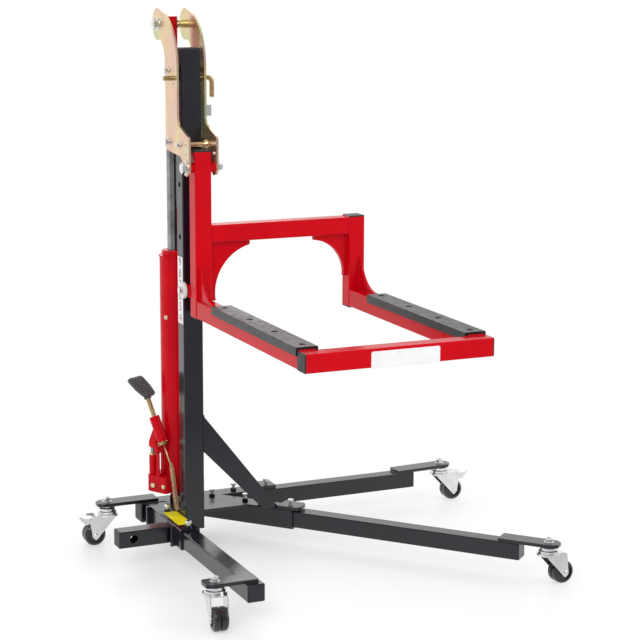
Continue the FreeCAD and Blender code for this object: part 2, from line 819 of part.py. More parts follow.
def make_pump_block():
    # casting: round base under the cylinder, a lobe for the pump, a tapered foot with an eye
    round_base = turned([(0, jack_bottom), (block_radius - 4, jack_bottom),
                         (block_radius, jack_bottom + 4), (block_radius, block_top - 3),
                         (block_radius - 3, block_top), (0, block_top)])
    foot = turned([(0, jack_bottom - 16), (22, jack_bottom - 16), (36, jack_bottom), (0, jack_bottom)])
    for piece in (round_base, foot):
        piece.translate(vec(0, jack_line, 0))
    lobe_corners = [pump_point(lobe_front, -lobe_side, jack_bottom),
                    pump_point(lobe_back, -lobe_side, jack_bottom),
                    pump_point(lobe_back, block_radius, jack_bottom),
                    pump_point(lobe_front, block_radius, jack_bottom)]
    lobe = rounded_face(lobe_corners, [8, 14, 2, 2]).extrude(vec(0, 0, block_tall - 8))
    boss = rod(pump_point(plunger_arm, 0, block_top - 10), Z_AXIS, pump_radius, pump_rise + 10)
    front = jack_line - foot_eye / 2
    eye = rounded_face([vec(-14, front, jack_bottom - 14), vec(-14, front, foot_pin_z - 14),
                        vec(14, front, foot_pin_z - 14), vec(14, front, jack_bottom - 14)],
                       [0, 13, 13, 0]).extrude(vec(0, foot_eye, 0))
    seat_side = link_inner + link_sheet + 1
    seat_run = link_wide / 2 + 3
    seat_low = block_top - 10
    seat = [pump_point(-seat_run, -seat_side, seat_low), pump_point(seat_run, -seat_side, seat_low),
            pump_point(seat_run, seat_side, seat_low), pump_point(-seat_run, seat_side, seat_low)]
    link_seat = rounded_face(seat, 2).extrude(vec(0, 0, 12))
    body = fused([round_base, foot, lobe, boss, eye, link_seat])
    plunger_bore = rod(pump_point(plunger_arm, 0, jack_bottom + 20), Z_AXIS,
                       plunger_radius + plunger_clear, 2 * block_tall + pump_rise)
    foot_bore = rod(vec(0, jack_line - block_radius, foot_pin_z), Y_AXIS, foot_pin_radius + bolt_clear,
                    2 * block_radius)
    valve_bore = rod(valve_seat(), hinge, valve_radius + bolt_clear, valve_depth + 1)
    return body.cut([plunger_bore, foot_bore, valve_bore])


def make_plunger():
    foot = block_top + 2
    top = pedal_z + lug_pad - 0.4
    stem = turned([(0, foot), (plunger_radius, foot), (plunger_radius, top - 1.5),
                   (plunger_radius - 1.5, top), (0, top)])
    stem.translate(pump_point(plunger_arm, 0, 0))
    return stem


def make_link_arms():
    # two straps from the block to the lever's pivot, with the pivot pin through them
    straps = []
    eye = link_wide / 2 + 4
    low = block_top + 2 - pedal_z
    half = link_wide / 2
    for side in (-link_inner - link_sheet, link_inner):
        bar = pump_slab([(-half, low), (half, low), (half, 0), (-half, 0)], side, link_sheet, 0)
        strap = bar.fuse(rod(pump_point(0, side, pedal_z), hinge, eye, link_sheet)).removeSplitter()
        bore = rod(pump_point(0, side - 1, pedal_z), hinge, link_pin + bolt_clear, link_sheet + 2)
        straps.append(strap.cut(bore))
    reach = link_inner + link_sheet + 2
    pin = rod(pump_point(0, -reach, pedal_z), hinge, link_pin, 2 * reach)
    heads = [hexagon(pump_point(0, -reach, pedal_z), hinge * -1, 15, 5),
             hexagon(pump_point(0, reach, pedal_z), hinge, 15, 5)]
    return straps + [fused([pin] + heads)]


def make_pedal_socket():
    # inclined tube for the pedal's shaft, welded to a bent lug that turns between the straps
    tube = rod(socket_foot, socket_way, socket_radius, socket_length)
    outline = [(-10, -9), (9, -9), (20, lug_pad), (38, lug_pad), (38, 22), (19, 66), (8, 44), (13, 14),
               (-10, 9)]
    lug = pump_slab(outline, -lug_half, 2 * lug_half, [8, 5, 6, 3, 6, 2, 6, 6, 8])
    washer_room = rod(socket_foot, socket_way * -1, flange_radius + 0.6, flange_sheet + 0.6)
    nut_room = rod(socket_foot, socket_way * -1, flange_radius - 3.6, flange_sheet + flange_nut + 0.6)
    lug = lug.cut([washer_room, nut_room])
    bore = rod(socket_foot - socket_way, socket_way, shaft_radius + bolt_clear, socket_length + 2)
    pivot = rod(pump_point(0, -20, pedal_z), hinge, link_pin + bolt_clear, 40)
    return fused([tube, lug]).cut([bore, pivot])


def make_pedal_shaft():
    # shaft through the socket, held by a washer and nut under it
    below = flange_sheet + flange_nut
    shaft = rod(socket_foot - socket_way * below, socket_way, shaft_radius, shaft_length + below)
    washer = rod(socket_foot, socket_way * -1, flange_radius, flange_sheet)
    nut = hexagon(socket_foot - socket_way * flange_sheet, socket_way * -1, 22, flange_nut)
    return fused([shaft, washer, nut])


def make_foot_pad():
    # ribbed plate, broad above and narrow below, its back carries a boss on the shaft's end
    steep = math.radians(pad_lean)
    long_way = swing * math.sin(steep) + vec(0, 0, math.cos(steep))
    normal = vec(0, 0, math.sin(steep)) - swing * math.cos(steep)
    base = shaft_tip - long_way * 12 + normal * 3
    outline = [(-0.38, 0), (0.38, 0), (0.5, 0.45), (0.5, 1), (-0.5, 1), (-0.5, 0.45)]
    corners = [base + hinge * (pad_wide * across) + long_way * (pad_long * up) for across, up in outline]
    plate = rounded_face(corners, [9, 9, 12, 9, 9, 12]).extrude(normal * pad_thick)
    boss = rod(shaft_tip - socket_way * 14, socket_way, shaft_radius + 4, 22)
    pad = plate.fuse(boss).removeSplitter()
    return pad.cut(rod(shaft_tip - socket_way * 60, socket_way, shaft_radius + 0.02, 60))


def make_mast_cap():
    return tube_cap(vec(0, 0, mast_top), Z_AXIS, X_AXIS, mast_width, mast_depth, mast_wall, cap_head)


def make_jack_fasteners():
    # filler plug in the cylinder, gland nut and plug on the block, the bolt through the foot's eye
    way = vec(-0.82, -0.57, 0).normalize()
    filler = along(turned([(0, 0), (7, 0), (7, 3), (5, 5), (0, 5)]),
                   vec(0, jack_line, jack_top - filler_drop) + way * jack_radius, way)
    plug = along(turned([(0, 0), (6.5, 0), (6.5, 4), (5, 5), (0, 5)]),
                 pump_point(plug_ahead, -lobe_side, jack_bottom + valve_rise), hinge * -1)
    gland_foot = pump_point(plunger_arm, 0, pump_top)
    gland = hexagon(gland_foot, Z_AXIS, 2 * pump_radius - 3, gland_tall)
    gland = gland.cut(rod(gland_foot, Z_AXIS, plunger_radius + plunger_clear, gland_tall))
    reach = foot_eye / 2 + lug_sheet + lug_play
    pin = rod(vec(0, jack_line - reach - 6, foot_pin_z), Y_AXIS, foot_pin_radius, 2 * reach + 12)
    heads = [hexagon(vec(0, jack_line - reach, foot_pin_z), vec(0, -1, 0), 19, 7),
             hexagon(vec(0, jack_line + reach, foot_pin_z), Y_AXIS, 19, 7)]
    return [filler, plug, gland, fused([pin] + heads)]


def make_release_valve():
    # screw with a cross bar hole in its hexagon head
    seat = valve_seat()
    stem = rod(seat, hinge, valve_radius, valve_depth)
    head = hexagon(seat, hinge * -1, 14, 9)
    slot = rod(seat - hinge * 5 - vec(0, 0, 10), Z_AXIS, 1.8, 20)
    return fused([stem, head]).cut(slot)


def spring_anchor_foot():
    return vec(spring_foot_x, mast_depth / 2 + spring_foot_gap, sleeve_top)


def make_return_spring():
    # rod from the pedal's foot down to an eye, the spring below it stretched to the hub
    foot = spring_anchor_foot() + vec(0, 0, anchor_tall)
    top = pump_point(spring_front, 0, pedal_z - spring_drop)
    down = (foot - top).normalize()
    sleeve = rod_between(top, foot, spring_radius)
    sleeve = sleeve.cut(rod_between(top, foot, spring_radius - spring_wire))
    start = socket_foot - socket_way * (flange_sheet + flange_nut + hook_radius + 0.6)
    hook = rod_between(start, top, hook_radius)
    cap = rod(top, down, spring_radius - spring_wire, 6)
    eye = rod(top - down * 8 - hinge * hook_radius, hinge, 6.5, 2 * hook_radius)
    eye = eye.cut(rod(top - down * 8 - hinge * hook_radius, hinge, 3.0, 2 * hook_radius))
    return fused([sleeve, hook, cap, eye])


def make_spring_anchor():
    return rod(spring_anchor_foot(), Z_AXIS, spring_radius - spring_wire - 0.4, anchor_tall)


# ---- carriage ----------------------------------------------------------------

def side_plate(inner):
    # plate beside the mast: swan-neck up to the jack's head, a lobe down to the carrier pivot
    neck_y = side_front + neck_radius
    neck_z = ram_bolt_z - neck_drop
    throat_y = side_back + throat_radius
    throat_z = ram_bolt_z - throat_drop
    waist_z = pivot_z + waist_rise
    bend = math.sqrt(0.5)
    crown = vec(inner, neck_y, neck_z + neck_radius)
    front = vec(inner, side_front, neck_z)
    front_mid = vec(inner, neck_y - neck_radius * bend, neck_z + neck_radius * bend)
    throat_end = vec(inner, throat_y, throat_z + throat_radius)
    throat_mid = vec(inner, throat_y - throat_radius * bend, throat_z + throat_radius * bend)
    back = vec(inner, side_back, throat_z)
    corners = [back, vec(inner, side_back, waist_z), vec(inner, side_front, waist_z), front]
    edges = [Part.Arc(front, front_mid, crown).toShape(), Part.LineSegment(crown, throat_end).toShape(),
             Part.Arc(throat_end, throat_mid, back).toShape()]
    edges += [Part.LineSegment(a, b).toShape() for a, b in zip(corners, corners[1:])]
    upper = Part.Face(Part.Wire(edges)).extrude(vec(side_sheet, 0, 0))
    shoulder_z = pivot_z + shoulder_rise
    shoulder = [(side_front, waist_z), (side_back, waist_z), (side_back, shoulder_z),
                (side_back - shoulder_step, shoulder_z), (side_front - shoulder_nose, pivot_z + nose_rise),
                (pivot_y - 2, pivot_z - lobe_lap), (pivot_y - pivot_lobe, pivot_z),
                (pivot_y - pivot_lobe, pivot_z + lobe_rise), (side_front, pivot_z + chin_rise)]
    radii = [0, 0, 10, 10, 24, 0, 0, 16, 30]
    lower = rounded_face([vec(inner, y, z) for y, z in shoulder], radii).extrude(vec(side_sheet, 0, 0))
    crown_lobe = rod(vec(inner, jack_line - 2, ram_bolt_z), X_AXIS, ram_lobe, side_sheet)
    low_lobe = rod(vec(inner, pivot_y, pivot_z), X_AXIS, pivot_lobe, side_sheet)
    plate = fused([upper, lower, crown_lobe, low_lobe])
    holes = [(jack_line, ram_bolt_z, ram_bolt_radius), (pivot_y, pivot_z, pivot_radius),
             (roller_y, roller_upper_z, roller_bolt), (roller_y, roller_lower_z, roller_bolt),
             (tie_y, tie_z, tie_radius), (0, lock_z, lock_pin_radius), (-6, lock_z - 15.5, 2.5)]
    holes += [(pivot_y, pivot_z + rise, plate_screw_radius) for rise in plate_screws]
    bores = [rod(vec(inner - 1, y, z), X_AXIS, radius + bolt_clear, side_sheet + 2)
             for y, z, radius in holes]
    return plate.cut(bores)


def cross_bolt(y, z, radius, left, right, across, head):
    # bolt along X with a washer and hexagon head on the left, a washer and nut on the right
    shank = rod(vec(left, y, z), X_AXIS, radius, right - left + head + 6)
    pieces = [shank, rod(vec(left - 2, y, z), X_AXIS, across * 0.72, 2),
              hexagon(vec(left - 2, y, z), vec(-1, 0, 0), across, head),
              rod(vec(right, y, z), X_AXIS, across * 0.72, 2),
              hexagon(vec(right + 2, y, z), X_AXIS, across, head)]
    return fused(pieces)


def collar_between(y, z, inner, outer, left, right):
    return rod(vec(left, y, z), X_AXIS, outer, right - left).cut(
        rod(vec(left, y, z), X_AXIS, inner, right - left))


def make_carriage_bolts():
    bolts = [cross_bolt(jack_line, ram_bolt_z, ram_bolt_radius, -side_outer, side_outer,
                        ram_bolt_across, 13)]
    for z in (roller_upper_z, roller_lower_z):
        bolts.append(cross_bolt(roller_y, z, roller_bolt, -side_outer, side_outer, 17, 8))
    bolts.append(cross_bolt(tie_y, tie_z, tie_radius, -side_outer, side_outer, 15, 7))
    for rise in plate_screws:
        tip = vec(side_outer, pivot_y, pivot_z + rise)
        screw = rod(tip, vec(-1, 0, 0), plate_screw_radius, side_sheet)
        head = rod(tip - vec(side_sheet, 0, 0), vec(-1, 0, 0), 2 * plate_screw_radius, 4)
        bolts.append(fused([screw, head]))
    return bolts


def make_carriage_spacers():
    # plated sleeves: either side of the jack's head, beside the rollers, over the tie bolt
    head_gap = ram_head_radius + 0.3
    roller_gap = roller_half + 0.4
    cone_tall = 9.0
    spacers = []
    for left, right in ((-side_inner, -head_gap), (head_gap, side_inner)):
        spacers.append(collar_between(jack_line, ram_bolt_z, ram_bolt_radius + 0.1, 12.5, left, right))
    for z in (roller_upper_z, roller_lower_z):
        for left, right in ((-side_inner, -roller_gap), (roller_gap, side_inner)):
            spacers.append(collar_between(roller_y, z, roller_bolt + 0.1, 9.5, left, right))
    foot = vec(side_inner - cone_tall, tie_y, tie_z)
    spacers.append(collar_between(tie_y, tie_z, tie_radius + 0.1, 7, -side_inner, foot.x))
    cone = Part.makeCone(8, 13, cone_tall, foot, X_AXIS)
    spacers.append(cone.cut(rod(foot, X_AXIS, tie_radius + 0.1, cone_tall)))
    return spacers


def make_roller(y, z, radius, half, bore):
    profile = [(bore, -half), (radius - 2, -half), (radius, -half + 2), (radius, half - 2),
               (radius - 2, half), (bore, half)]
    return along(turned(profile), vec(0, y, z), X_AXIS)


def make_guide_rollers():
    # front roller on the mast's face and a wide disc either side of the mast
    bore = lug_bolt + 0.1
    roller = make_roller(lug_y, lug_z, guide_radius, lug_inner - 0.4, bore)
    discs = []
    for left in (-mast_width / 2 - roller_run - disc_wide, mast_width / 2 + roller_run):
        disc = rod(vec(left, lug_y, lug_z), X_AXIS, disc_radius, disc_wide)
        discs.append(disc.cut(rod(vec(left, lug_y, lug_z), X_AXIS, bore, disc_wide)))
    return [roller] + discs


def make_lug_bolt():
    reach = mast_width / 2 + 2 * roller_run + disc_wide
    return cross_bolt(lug_y, lug_z, lug_bolt, -reach, reach + 8, 19, 8)


def make_pivot_bolt():
    # broad flanged head on the left, a washer and a smaller nut on the right
    tail = side_outer + pivot_nut / 2 + 7
    pieces = [rod(vec(-side_outer, pivot_y, pivot_z), X_AXIS, pivot_radius, side_outer + tail),
              rod(vec(-side_outer - 3, pivot_y, pivot_z), X_AXIS, pivot_across * 0.7, 3),
              hexagon(vec(-side_outer - 3, pivot_y, pivot_z), vec(-1, 0, 0), pivot_across, 12),
              rod(vec(side_outer, pivot_y, pivot_z), X_AXIS, pivot_nut * 0.68, 2),
              hexagon(vec(side_outer + 2, pivot_y, pivot_z), X_AXIS, pivot_nut + 3, pivot_nut / 2)]
    return fused(pieces)


def make_pivot_bushes():
    half = carrier_tube / 2
    return [collar_between(pivot_y, pivot_z, pivot_radius + 0.1, 15, -side_inner, -half),
            collar_between(pivot_y, pivot_z, pivot_radius + 0.1, 15, half, side_inner)]


def make_ram():
    piston = jack_bore - ram_clear
    piston_top = ram_bottom + piston_tall
    body = turned([(0, ram_bottom), (piston, ram_bottom), (piston, piston_top), (ram_radius, piston_top),
                   (ram_radius, ram_top - 2), (ram_radius - 2, ram_top), (0, ram_top)])
    body.translate(vec(0, jack_line, 0))
    return body


def make_ram_head():
    head = rod(vec(0, jack_line, ram_top), Z_AXIS, ram_head_radius, ram_head_top - ram_top)
    return head.cut(rod(vec(-50, jack_line, ram_bolt_z), X_AXIS, ram_bolt_radius + 0.1, 100))


def make_lock_pin():
    # L-shaped pin standing at the plate, ready to be pushed through the mast's wall
    start = vec(mast_width / 2 + 1, 0, lock_z)
    corner = vec(handle_x, 0, lock_z)
    entry = corner - vec(handle_bend, 0, 0)
    leave = corner - vec(0, 0, handle_bend)
    middle = corner - vec(handle_bend, 0, handle_bend) * (1 - math.sqrt(0.5))
    path = Part.Wire([Part.LineSegment(start, entry).toShape(), Part.Arc(entry, middle, leave).toShape(),
                      Part.LineSegment(leave, vec(handle_x, 0, lock_z - handle_drop)).toShape()])
    ring = Part.Wire(Part.makeCircle(lock_pin_radius, start, X_AXIS))
    return path.makePipeShell([ring], True, False)


def make_lock_stud():
    # short pin with a groove for its ring near the outer end
    groove = stud_length - 9
    stud = turned([(0, 0), (lock_pin_radius, 0), (lock_pin_radius, groove),
                   (lock_pin_radius - 1.2, groove), (lock_pin_radius - 1.2, groove + 2),
                   (lock_pin_radius, groove + 2), (lock_pin_radius, stud_length - 1.5),
                   (lock_pin_radius - 1.5, stud_length), (0, stud_length)])
    return along(stud, vec(-mast_width / 2 - 1, 0, lock_z), vec(-1, 0, 0))


def make_handle_rest():
    # square tab on the right plate under the lock pin's handle
    low = lock_z - handle_drop - 52
    return block(side_outer, side_outer + 16, side_front + 4, side_front + 12, low, low + 32)


# ---- carrier frame -------------------------------------------------------------

def upright(x, low, high):
    return square_tube(vec(x, post_line, low), Z_AXIS, X_AXIS, carrier_tube, carrier_tube,
                       carrier_wall, high - low)


def make_left_post():
    post = upright(0, post_low, left_post_top)
    bore = rod(vec(-carrier_tube, pivot_y, pivot_z), X_AXIS, pivot_radius + 0.1, 2 * carrier_tube)
    return post.cut(bore)


def make_beam():
    x = carrier_tube / 2
    return square_tube(vec(x, post_line, beam_low + carrier_tube / 2), X_AXIS, Y_AXIS, carrier_tube,
                       carrier_tube, carrier_wall, right_post_x - 2 * x)


def make_arm(x):
    back = post_line - carrier_tube / 2
    return square_tube(vec(x, back, post_low + carrier_tube / 2), vec(0, -1, 0), X_AXIS, carrier_tube,
                       carrier_tube, carrier_wall, back - front_bar_back)


def make_front_bar():
    return square_tube(vec(front_bar_left, front_bar_line, post_low + carrier_tube / 2), X_AXIS, Y_AXIS,
                       carrier_tube, carrier_tube, carrier_wall, front_bar_right - front_bar_left)


def beam_gusset(x, way, along_beam, down_post, tail):
    # plate in the corner under the beam with a hollow curved edge
    y = post_line - gusset_sheet / 2
    z = beam_low
    corner = vec(x, y, z)
    run = vec(way, 0, 0)
    a = corner + run * along_beam
    b = a - vec(0, 0, gusset_end)
    d = corner - vec(0, 0, down_post)
    c = d + run * tail
    centre = vec(b.x, y, c.z)
    wide = abs(b.x - c.x)
    tall = b.z - c.z
    bend = 1 / math.sqrt(2)
    middle = centre + vec(-way * wide * bend, 0, tall * bend)
    edges = [Part.LineSegment(corner, a).toShape(), Part.LineSegment(a, b).toShape(),
             Part.Arc(b, middle, c).toShape(), Part.LineSegment(c, d).toShape(),
             Part.LineSegment(d, corner).toShape()]
    return Part.Face(Part.Wire(edges)).extrude(vec(0, gusset_sheet, 0))


def arm_gusset(x):
    # upright plate between the post and the arm
    y = post_line - carrier_tube / 2
    corner = vec(x, y, arm_top)
    a = corner + vec(0, 0, arm_gusset_tall)
    b = a - vec(0, 9, 0)
    d = corner - vec(0, arm_gusset_long, 0)
    c = d + vec(0, 0, 6)
    middle = vec(x, y - arm_gusset_long * 0.38, arm_top + arm_gusset_tall * 0.32)
    edges = [Part.LineSegment(corner, a).toShape(), Part.LineSegment(a, b).toShape(),
             Part.Arc(b, middle, c).toShape(), Part.LineSegment(c, d).toShape(),
             Part.LineSegment(d, corner).toShape()]
    return Part.Face(Part.Wire(edges)).extrude(vec(arm_gusset_sheet, 0, 0))


def make_carrier_brackets():
    left_inner = carrier_tube / 2
    right_inner = right_post_x - carrier_tube / 2
    pieces = [beam_gusset(left_inner, 1, left_gusset_along, left_gusset_down, left_gusset_tail),
              beam_gusset(right_inner, -1, right_gusset_along, right_gusset_down, right_gusset_tail),
              arm_gusset(-15.0), arm_gusset(right_post_x + 8)]
    for x in (-lug_inner - lug_cheek, lug_inner):
        outline = [vec(x, post_back, lug_z - 18), vec(x, post_back, lug_z + 18),
                   vec(x, lug_y + 8, lug_z + 18), vec(x, lug_y + 8, lug_z - 18)]
        cheek = rounded_face(outline, [0, 0, 8, 8]).extrude(vec(lug_cheek, 0, 0))
        pieces.append(cheek.cut(rod(vec(x, lug_y, lug_z), X_AXIS, lug_bolt + 0.1, lug_cheek)))
    return pieces


def make_carrier_caps():
    down = vec(0, 0, -1)
    level = post_low + carrier_tube / 2
    spots = [(vec(0, post_line, left_post_top), Z_AXIS, X_AXIS),
             (vec(0, post_line, post_low), down, X_AXIS),
             (vec(right_post_x, post_line, right_post_top), Z_AXIS, X_AXIS),
             (vec(right_post_x, post_line, post_low), down, X_AXIS),
             (vec(front_bar_left, front_bar_line, level), vec(-1, 0, 0), Y_AXIS),
             (vec(front_bar_right, front_bar_line, level), X_AXIS, Y_AXIS)]
    return [tube_cap(middle, way, side, carrier_tube, carrier_tube, carrier_wall, cap_sheet)
            for middle, way, side in spots]


def pad_screw_places(x):
    return [vec(x, pad_screw_first - step * pad_screw_pitch, arm_top) for step in range(pad_screw_count)]


def make_pad(x):
    # long cap that wraps the arm's top, edges bevelled, four countersunk holes
    half = pad_cap_width / 2
    top = arm_top + pad_cap_sheet
    low = arm_top - pad_cap_skirt
    section = [vec(x - half, pad_cap_start, low), vec(x - half, pad_cap_start, top),
               vec(x + half, pad_cap_start, top), vec(x + half, pad_cap_start, low)]
    pad = rounded_face(section, [0, 3, 3, 0]).extrude(vec(0, pad_end - pad_cap_start, 0))
    seat = carrier_tube / 2 + pad_cap_gap
    cuts = [block(x - seat, x + seat, pad_end - 1, pad_cap_start + 1, low - 1, arm_top)]
    hole = pad_screw_radius + 0.6
    for place in pad_screw_places(x):
        cuts.append(Part.makeCone(hole, pad_screw_head, pad_cap_sheet - 2, place + vec(0, 0, 2), Z_AXIS))
        cuts.append(rod(place - vec(0, 0, 1), Z_AXIS, hole, 4))
    return pad.cut(cuts)


def make_pad_screws():
    screws = []
    for place in pad_screw_places(0) + pad_screw_places(right_post_x):
        head = Part.makeCone(pad_screw_radius, 7.0, 3.4, place + vec(0, 0, 2.2), Z_AXIS)
        shank = rod(place, Z_AXIS, pad_screw_radius, 2.4)
        socket = hexagon(place + vec(0, 0, 3.4), Z_AXIS, 5, 5)
        screws.append(fused([head, shank]).cut(socket))
    return screws


parts["mast_tube"] = [make_mast()]
parts["cross_sleeve"] = [make_cross_sleeve()]
parts["rear_sleeve"] = [make_rear_sleeve()]
parts["diagonal_sleeve"] = [make_diagonal_sleeve()]
parts["hub_plates"] = make_hub_plates()
parts["sleeve_doublers"] = make_doublers() + [clamp_nut(p.x, p.y, sleeve_top) for p in plain_bolts]
parts["drawbar_tube"] = [make_drawbar()]
parts["mast_brace"] = [make_brace()]
parts["tube_caps"] = make_base_caps()
parts["leg_a"] = make_leg_a()
parts["leg_c"] = make_leg_c()
parts["leg_d"] = make_leg_d()
parts["clamp_bolts"] = [clamp_bolt(p.x, p.y, sleeve_top) for p in plain_bolts]
raised_level = sleeve_top + plate_thick - weld_nut_tall
parts["clamp_bolts"] += [clamp_bolt(p.x, p.y, raised_level) for p in raised_bolts]
add_caster("a", bolt_a, caster_a_heading, leg_top, False)
add_caster("b", bolt_b, caster_b_heading, sleeve_top, True)
add_caster("c", bolt_c, caster_c_heading, leg_top, False)
add_caster("d", bolt_d, caster_d_heading, leg_top, True)
parts["jack_cylinder"] = make_jack_cylinder()
parts["pump_block"] = [make_pump_block()]
parts["plunger"] = [make_plunger()]
parts["link_arms"] = make_link_arms()
parts["pedal_socket"] = [make_pedal_socket()]
parts["pedal_shaft"] = [make_pedal_shaft()]
parts["foot_pad"] = [make_foot_pad()]
parts["tube_caps"].append(make_mast_cap())
parts["jack_fasteners"] = make_jack_fasteners()
parts["release_valve"] = [make_release_valve()]
parts["return_spring"] = [make_return_spring()]
parts["hub_plates"] += [make_spring_anchor(), make_outrigger()]
parts["plate_left"] = [side_plate(-side_outer)]
parts["plate_right"] = [side_plate(side_inner)]
parts["carriage_bolts"] = make_carriage_bolts() + [make_lug_bolt(), make_pivot_bolt(), make_handle_rest()]
parts["carriage_spacers"] = make_carriage_spacers()
parts["roller_upper"] = [make_roller(roller_y, roller_upper_z, roller_radius, roller_half,
                                       roller_bolt + 0.1)]
parts["roller_lower"] = [make_roller(roller_y, roller_lower_z, roller_radius, roller_half,
                                       roller_bolt + 0.1)]
parts["guide_rollers"] = make_guide_rollers()
parts["pivot_bushes"] = make_pivot_bushes()
parts["ram"] = [make_ram()]
parts["ram_head"] = [make_ram_head()]
parts["lock_pin"] = [make_lock_pin()]
parts["lock_stud"] = [make_lock_stud()]
parts["left_post"] = [make_left_post()]
parts["right_post"] = [upright(right_post_x, post_low, right_post_top)]
parts["top_beam"] = [make_beam()]
parts["left_arm"] = [make_arm(0)]
parts["right_arm"] = [make_arm(right_post_x)]
parts["front_bar"] = [make_front_bar()]
parts["carrier_brackets"] = make_carrier_brackets()
parts["carrier_caps"] = make_carrier_caps()
parts["pad_left"] = [make_pad(0)]
parts["pad_right"] = [make_pad(right_post_x)]
parts["pad_screws"] = make_pad_screws()

os.makedirs("parts", exist_ok=True)
for name, shapes in parts.items():
    solids = [solid for shape in shapes for solid in shape.Solids]
    for solid in solids:
        if not solid.isValid():
            print("invalid solid in", name)
    Part.makeCompound(solids).exportStep("parts/%s.step" % name)
print(len(parts), "nodes")
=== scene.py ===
import json
import math

import bpy
from mathutils import Matrix, Vector


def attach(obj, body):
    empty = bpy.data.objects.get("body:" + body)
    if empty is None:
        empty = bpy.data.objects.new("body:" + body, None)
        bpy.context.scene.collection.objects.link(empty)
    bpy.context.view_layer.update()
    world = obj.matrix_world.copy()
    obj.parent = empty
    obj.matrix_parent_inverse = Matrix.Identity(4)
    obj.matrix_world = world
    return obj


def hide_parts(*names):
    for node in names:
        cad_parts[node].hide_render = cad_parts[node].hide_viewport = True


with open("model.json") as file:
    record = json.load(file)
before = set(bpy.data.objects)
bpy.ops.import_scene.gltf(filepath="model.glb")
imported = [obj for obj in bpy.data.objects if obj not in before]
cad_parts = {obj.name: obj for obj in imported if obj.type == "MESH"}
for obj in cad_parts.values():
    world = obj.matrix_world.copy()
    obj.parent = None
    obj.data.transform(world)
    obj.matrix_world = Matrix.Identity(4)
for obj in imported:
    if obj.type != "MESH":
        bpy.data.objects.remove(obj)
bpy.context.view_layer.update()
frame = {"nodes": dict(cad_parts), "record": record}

scene = bpy.context.scene
print("frame loaded:", len(frame["nodes"]), "nodes")

# the camera comes first: where it stands, where it looks, how it is tilted
cameraSet = {
    "place": (-1.8689, -5.0976, 1.7811),
    "turn": 24.142,      # degrees to the right of +Y
    "down": 11.182,
    "roll": 0.225,
    "lens": 106.0,
    "sensor": 36.0,
}


def makeCamera(c):
    turn, down, roll = (math.radians(c[k]) for k in ("turn", "down", "roll"))
    ahead = Vector((math.sin(turn) * math.cos(down), math.cos(turn) * math.cos(down), -math.sin(down)))
    right = Vector((math.cos(turn), -math.sin(turn), 0))
    up = right.cross(ahead)
    tiltedRight = right * math.cos(roll) + up * math.sin(roll)
    tiltedUp = up * math.cos(roll) - right * math.sin(roll)
    turned = Matrix((tiltedRight, tiltedUp, -ahead)).transposed().to_4x4()
    data = bpy.data.cameras.new("camera")
    data.lens = c["lens"]
    data.sensor_width = c["sensor"]
    data.clip_end = 50
    camera = bpy.data.objects.new("camera", data)
    scene.collection.objects.link(camera)
    camera.matrix_world = Matrix.Translation(c["place"]) @ turned
    scene.camera = camera


makeCamera(cameraSet)
print("camera set")


# materials, one per finish
class Nodes:
    # small helper that places nodes and joins sockets
    def __init__(self, name):
        self.material = bpy.data.materials.new(name)
        self.material.use_nodes = True
        self.tree = self.material.node_tree
        self.shader = self.tree.nodes["Principled BSDF"]
        self.position = self.make("ShaderNodeTexCoord").outputs["Object"]

    def make(self, kind, **settings):
        node = self.tree.nodes.new(kind)
        for key, value in settings.items():
            setattr(node, key, value)
        return node

    def join(self, start, end):
        self.tree.links.new(start, end)

    def noise(self, scale, detail=3.0, rough=0.55, stretch=(1, 1, 1)):
        mapping = self.make("ShaderNodeMapping")
        mapping.inputs["Scale"].default_value = stretch
        self.join(self.position, mapping.inputs["Vector"])
        node = self.make("ShaderNodeTexNoise")
        node.inputs["Scale"].default_value = scale
        node.inputs["Detail"].default_value = detail
        node.inputs["Roughness"].default_value = rough
        self.join(mapping.outputs["Vector"], node.inputs["Vector"])
        return node.outputs["Fac"]

    def ramp(self, source, stops):
        node = self.make("ShaderNodeValToRGB")
        band = node.color_ramp
        while len(band.elements) < len(stops):
            band.elements.new(0.5)
        for element, (place, colour) in zip(band.elements, stops):
            element.position = place
            element.color = (*colour, 1)
        self.join(source, node.inputs["Fac"])
        return node.outputs["Color"]

    def span(self, source, low, high):
        node = self.make("ShaderNodeMapRange")
        node.inputs["From Min"].default_value = 0.3
        node.inputs["From Max"].default_value = 0.7
        node.inputs["To Min"].default_value = low
        node.inputs["To Max"].default_value = high
        self.join(source, node.inputs["Value"])
        return node.outputs["Result"]

    def mix(self, amount, first, second):
        node = self.make("ShaderNodeMix", data_type="RGBA")
        self.join(amount, node.inputs["Factor"])
        for socket, value in ((node.inputs["A"], first), (node.inputs["B"], second)):
            if isinstance(value, tuple):
                socket.default_value = (*value, 1)
            else:
                self.join(value, socket)
        return node.outputs["Result"]

    def bump(self, height, strength, distance, under=None):
        node = self.make("ShaderNodeBump")
        node.inputs["Strength"].default_value = strength
        node.inputs["Distance"].default_value = distance
        self.join(height, node.inputs["Height"])
        if under:
            self.join(under, node.inputs["Normal"])
        return node.outputs["Normal"]

    def put(self, socket, value):
        target = self.shader.inputs[socket]
        if hasattr(value, "is_output"):
            self.join(value, target)
        elif isinstance(value, tuple):
            target.default_value = (*value, 1)
        else:
            target.default_value = value


def glossPaint(name, deep, light, rough, peel, gloss, coat):
    # sprayed gloss paint: faint cloudiness, orange peel, duller patches
    n = Nodes(name)
    n.put("Base Color", n.ramp(n.noise(7.0, 2.0), [(0.3, deep), (0.7, light)]))
    n.put("Roughness", n.span(n.noise(35.0, 3.0), rough - 0.04, rough + 0.07))
    n.put("Normal", n.bump(n.noise(300.0, 2.0, 0.4), peel, 0.0004))
    n.put("Specular IOR Level", gloss)
    n.put("Coat Weight", coat)
    n.put("Coat Roughness", 0.06)
    return n.material


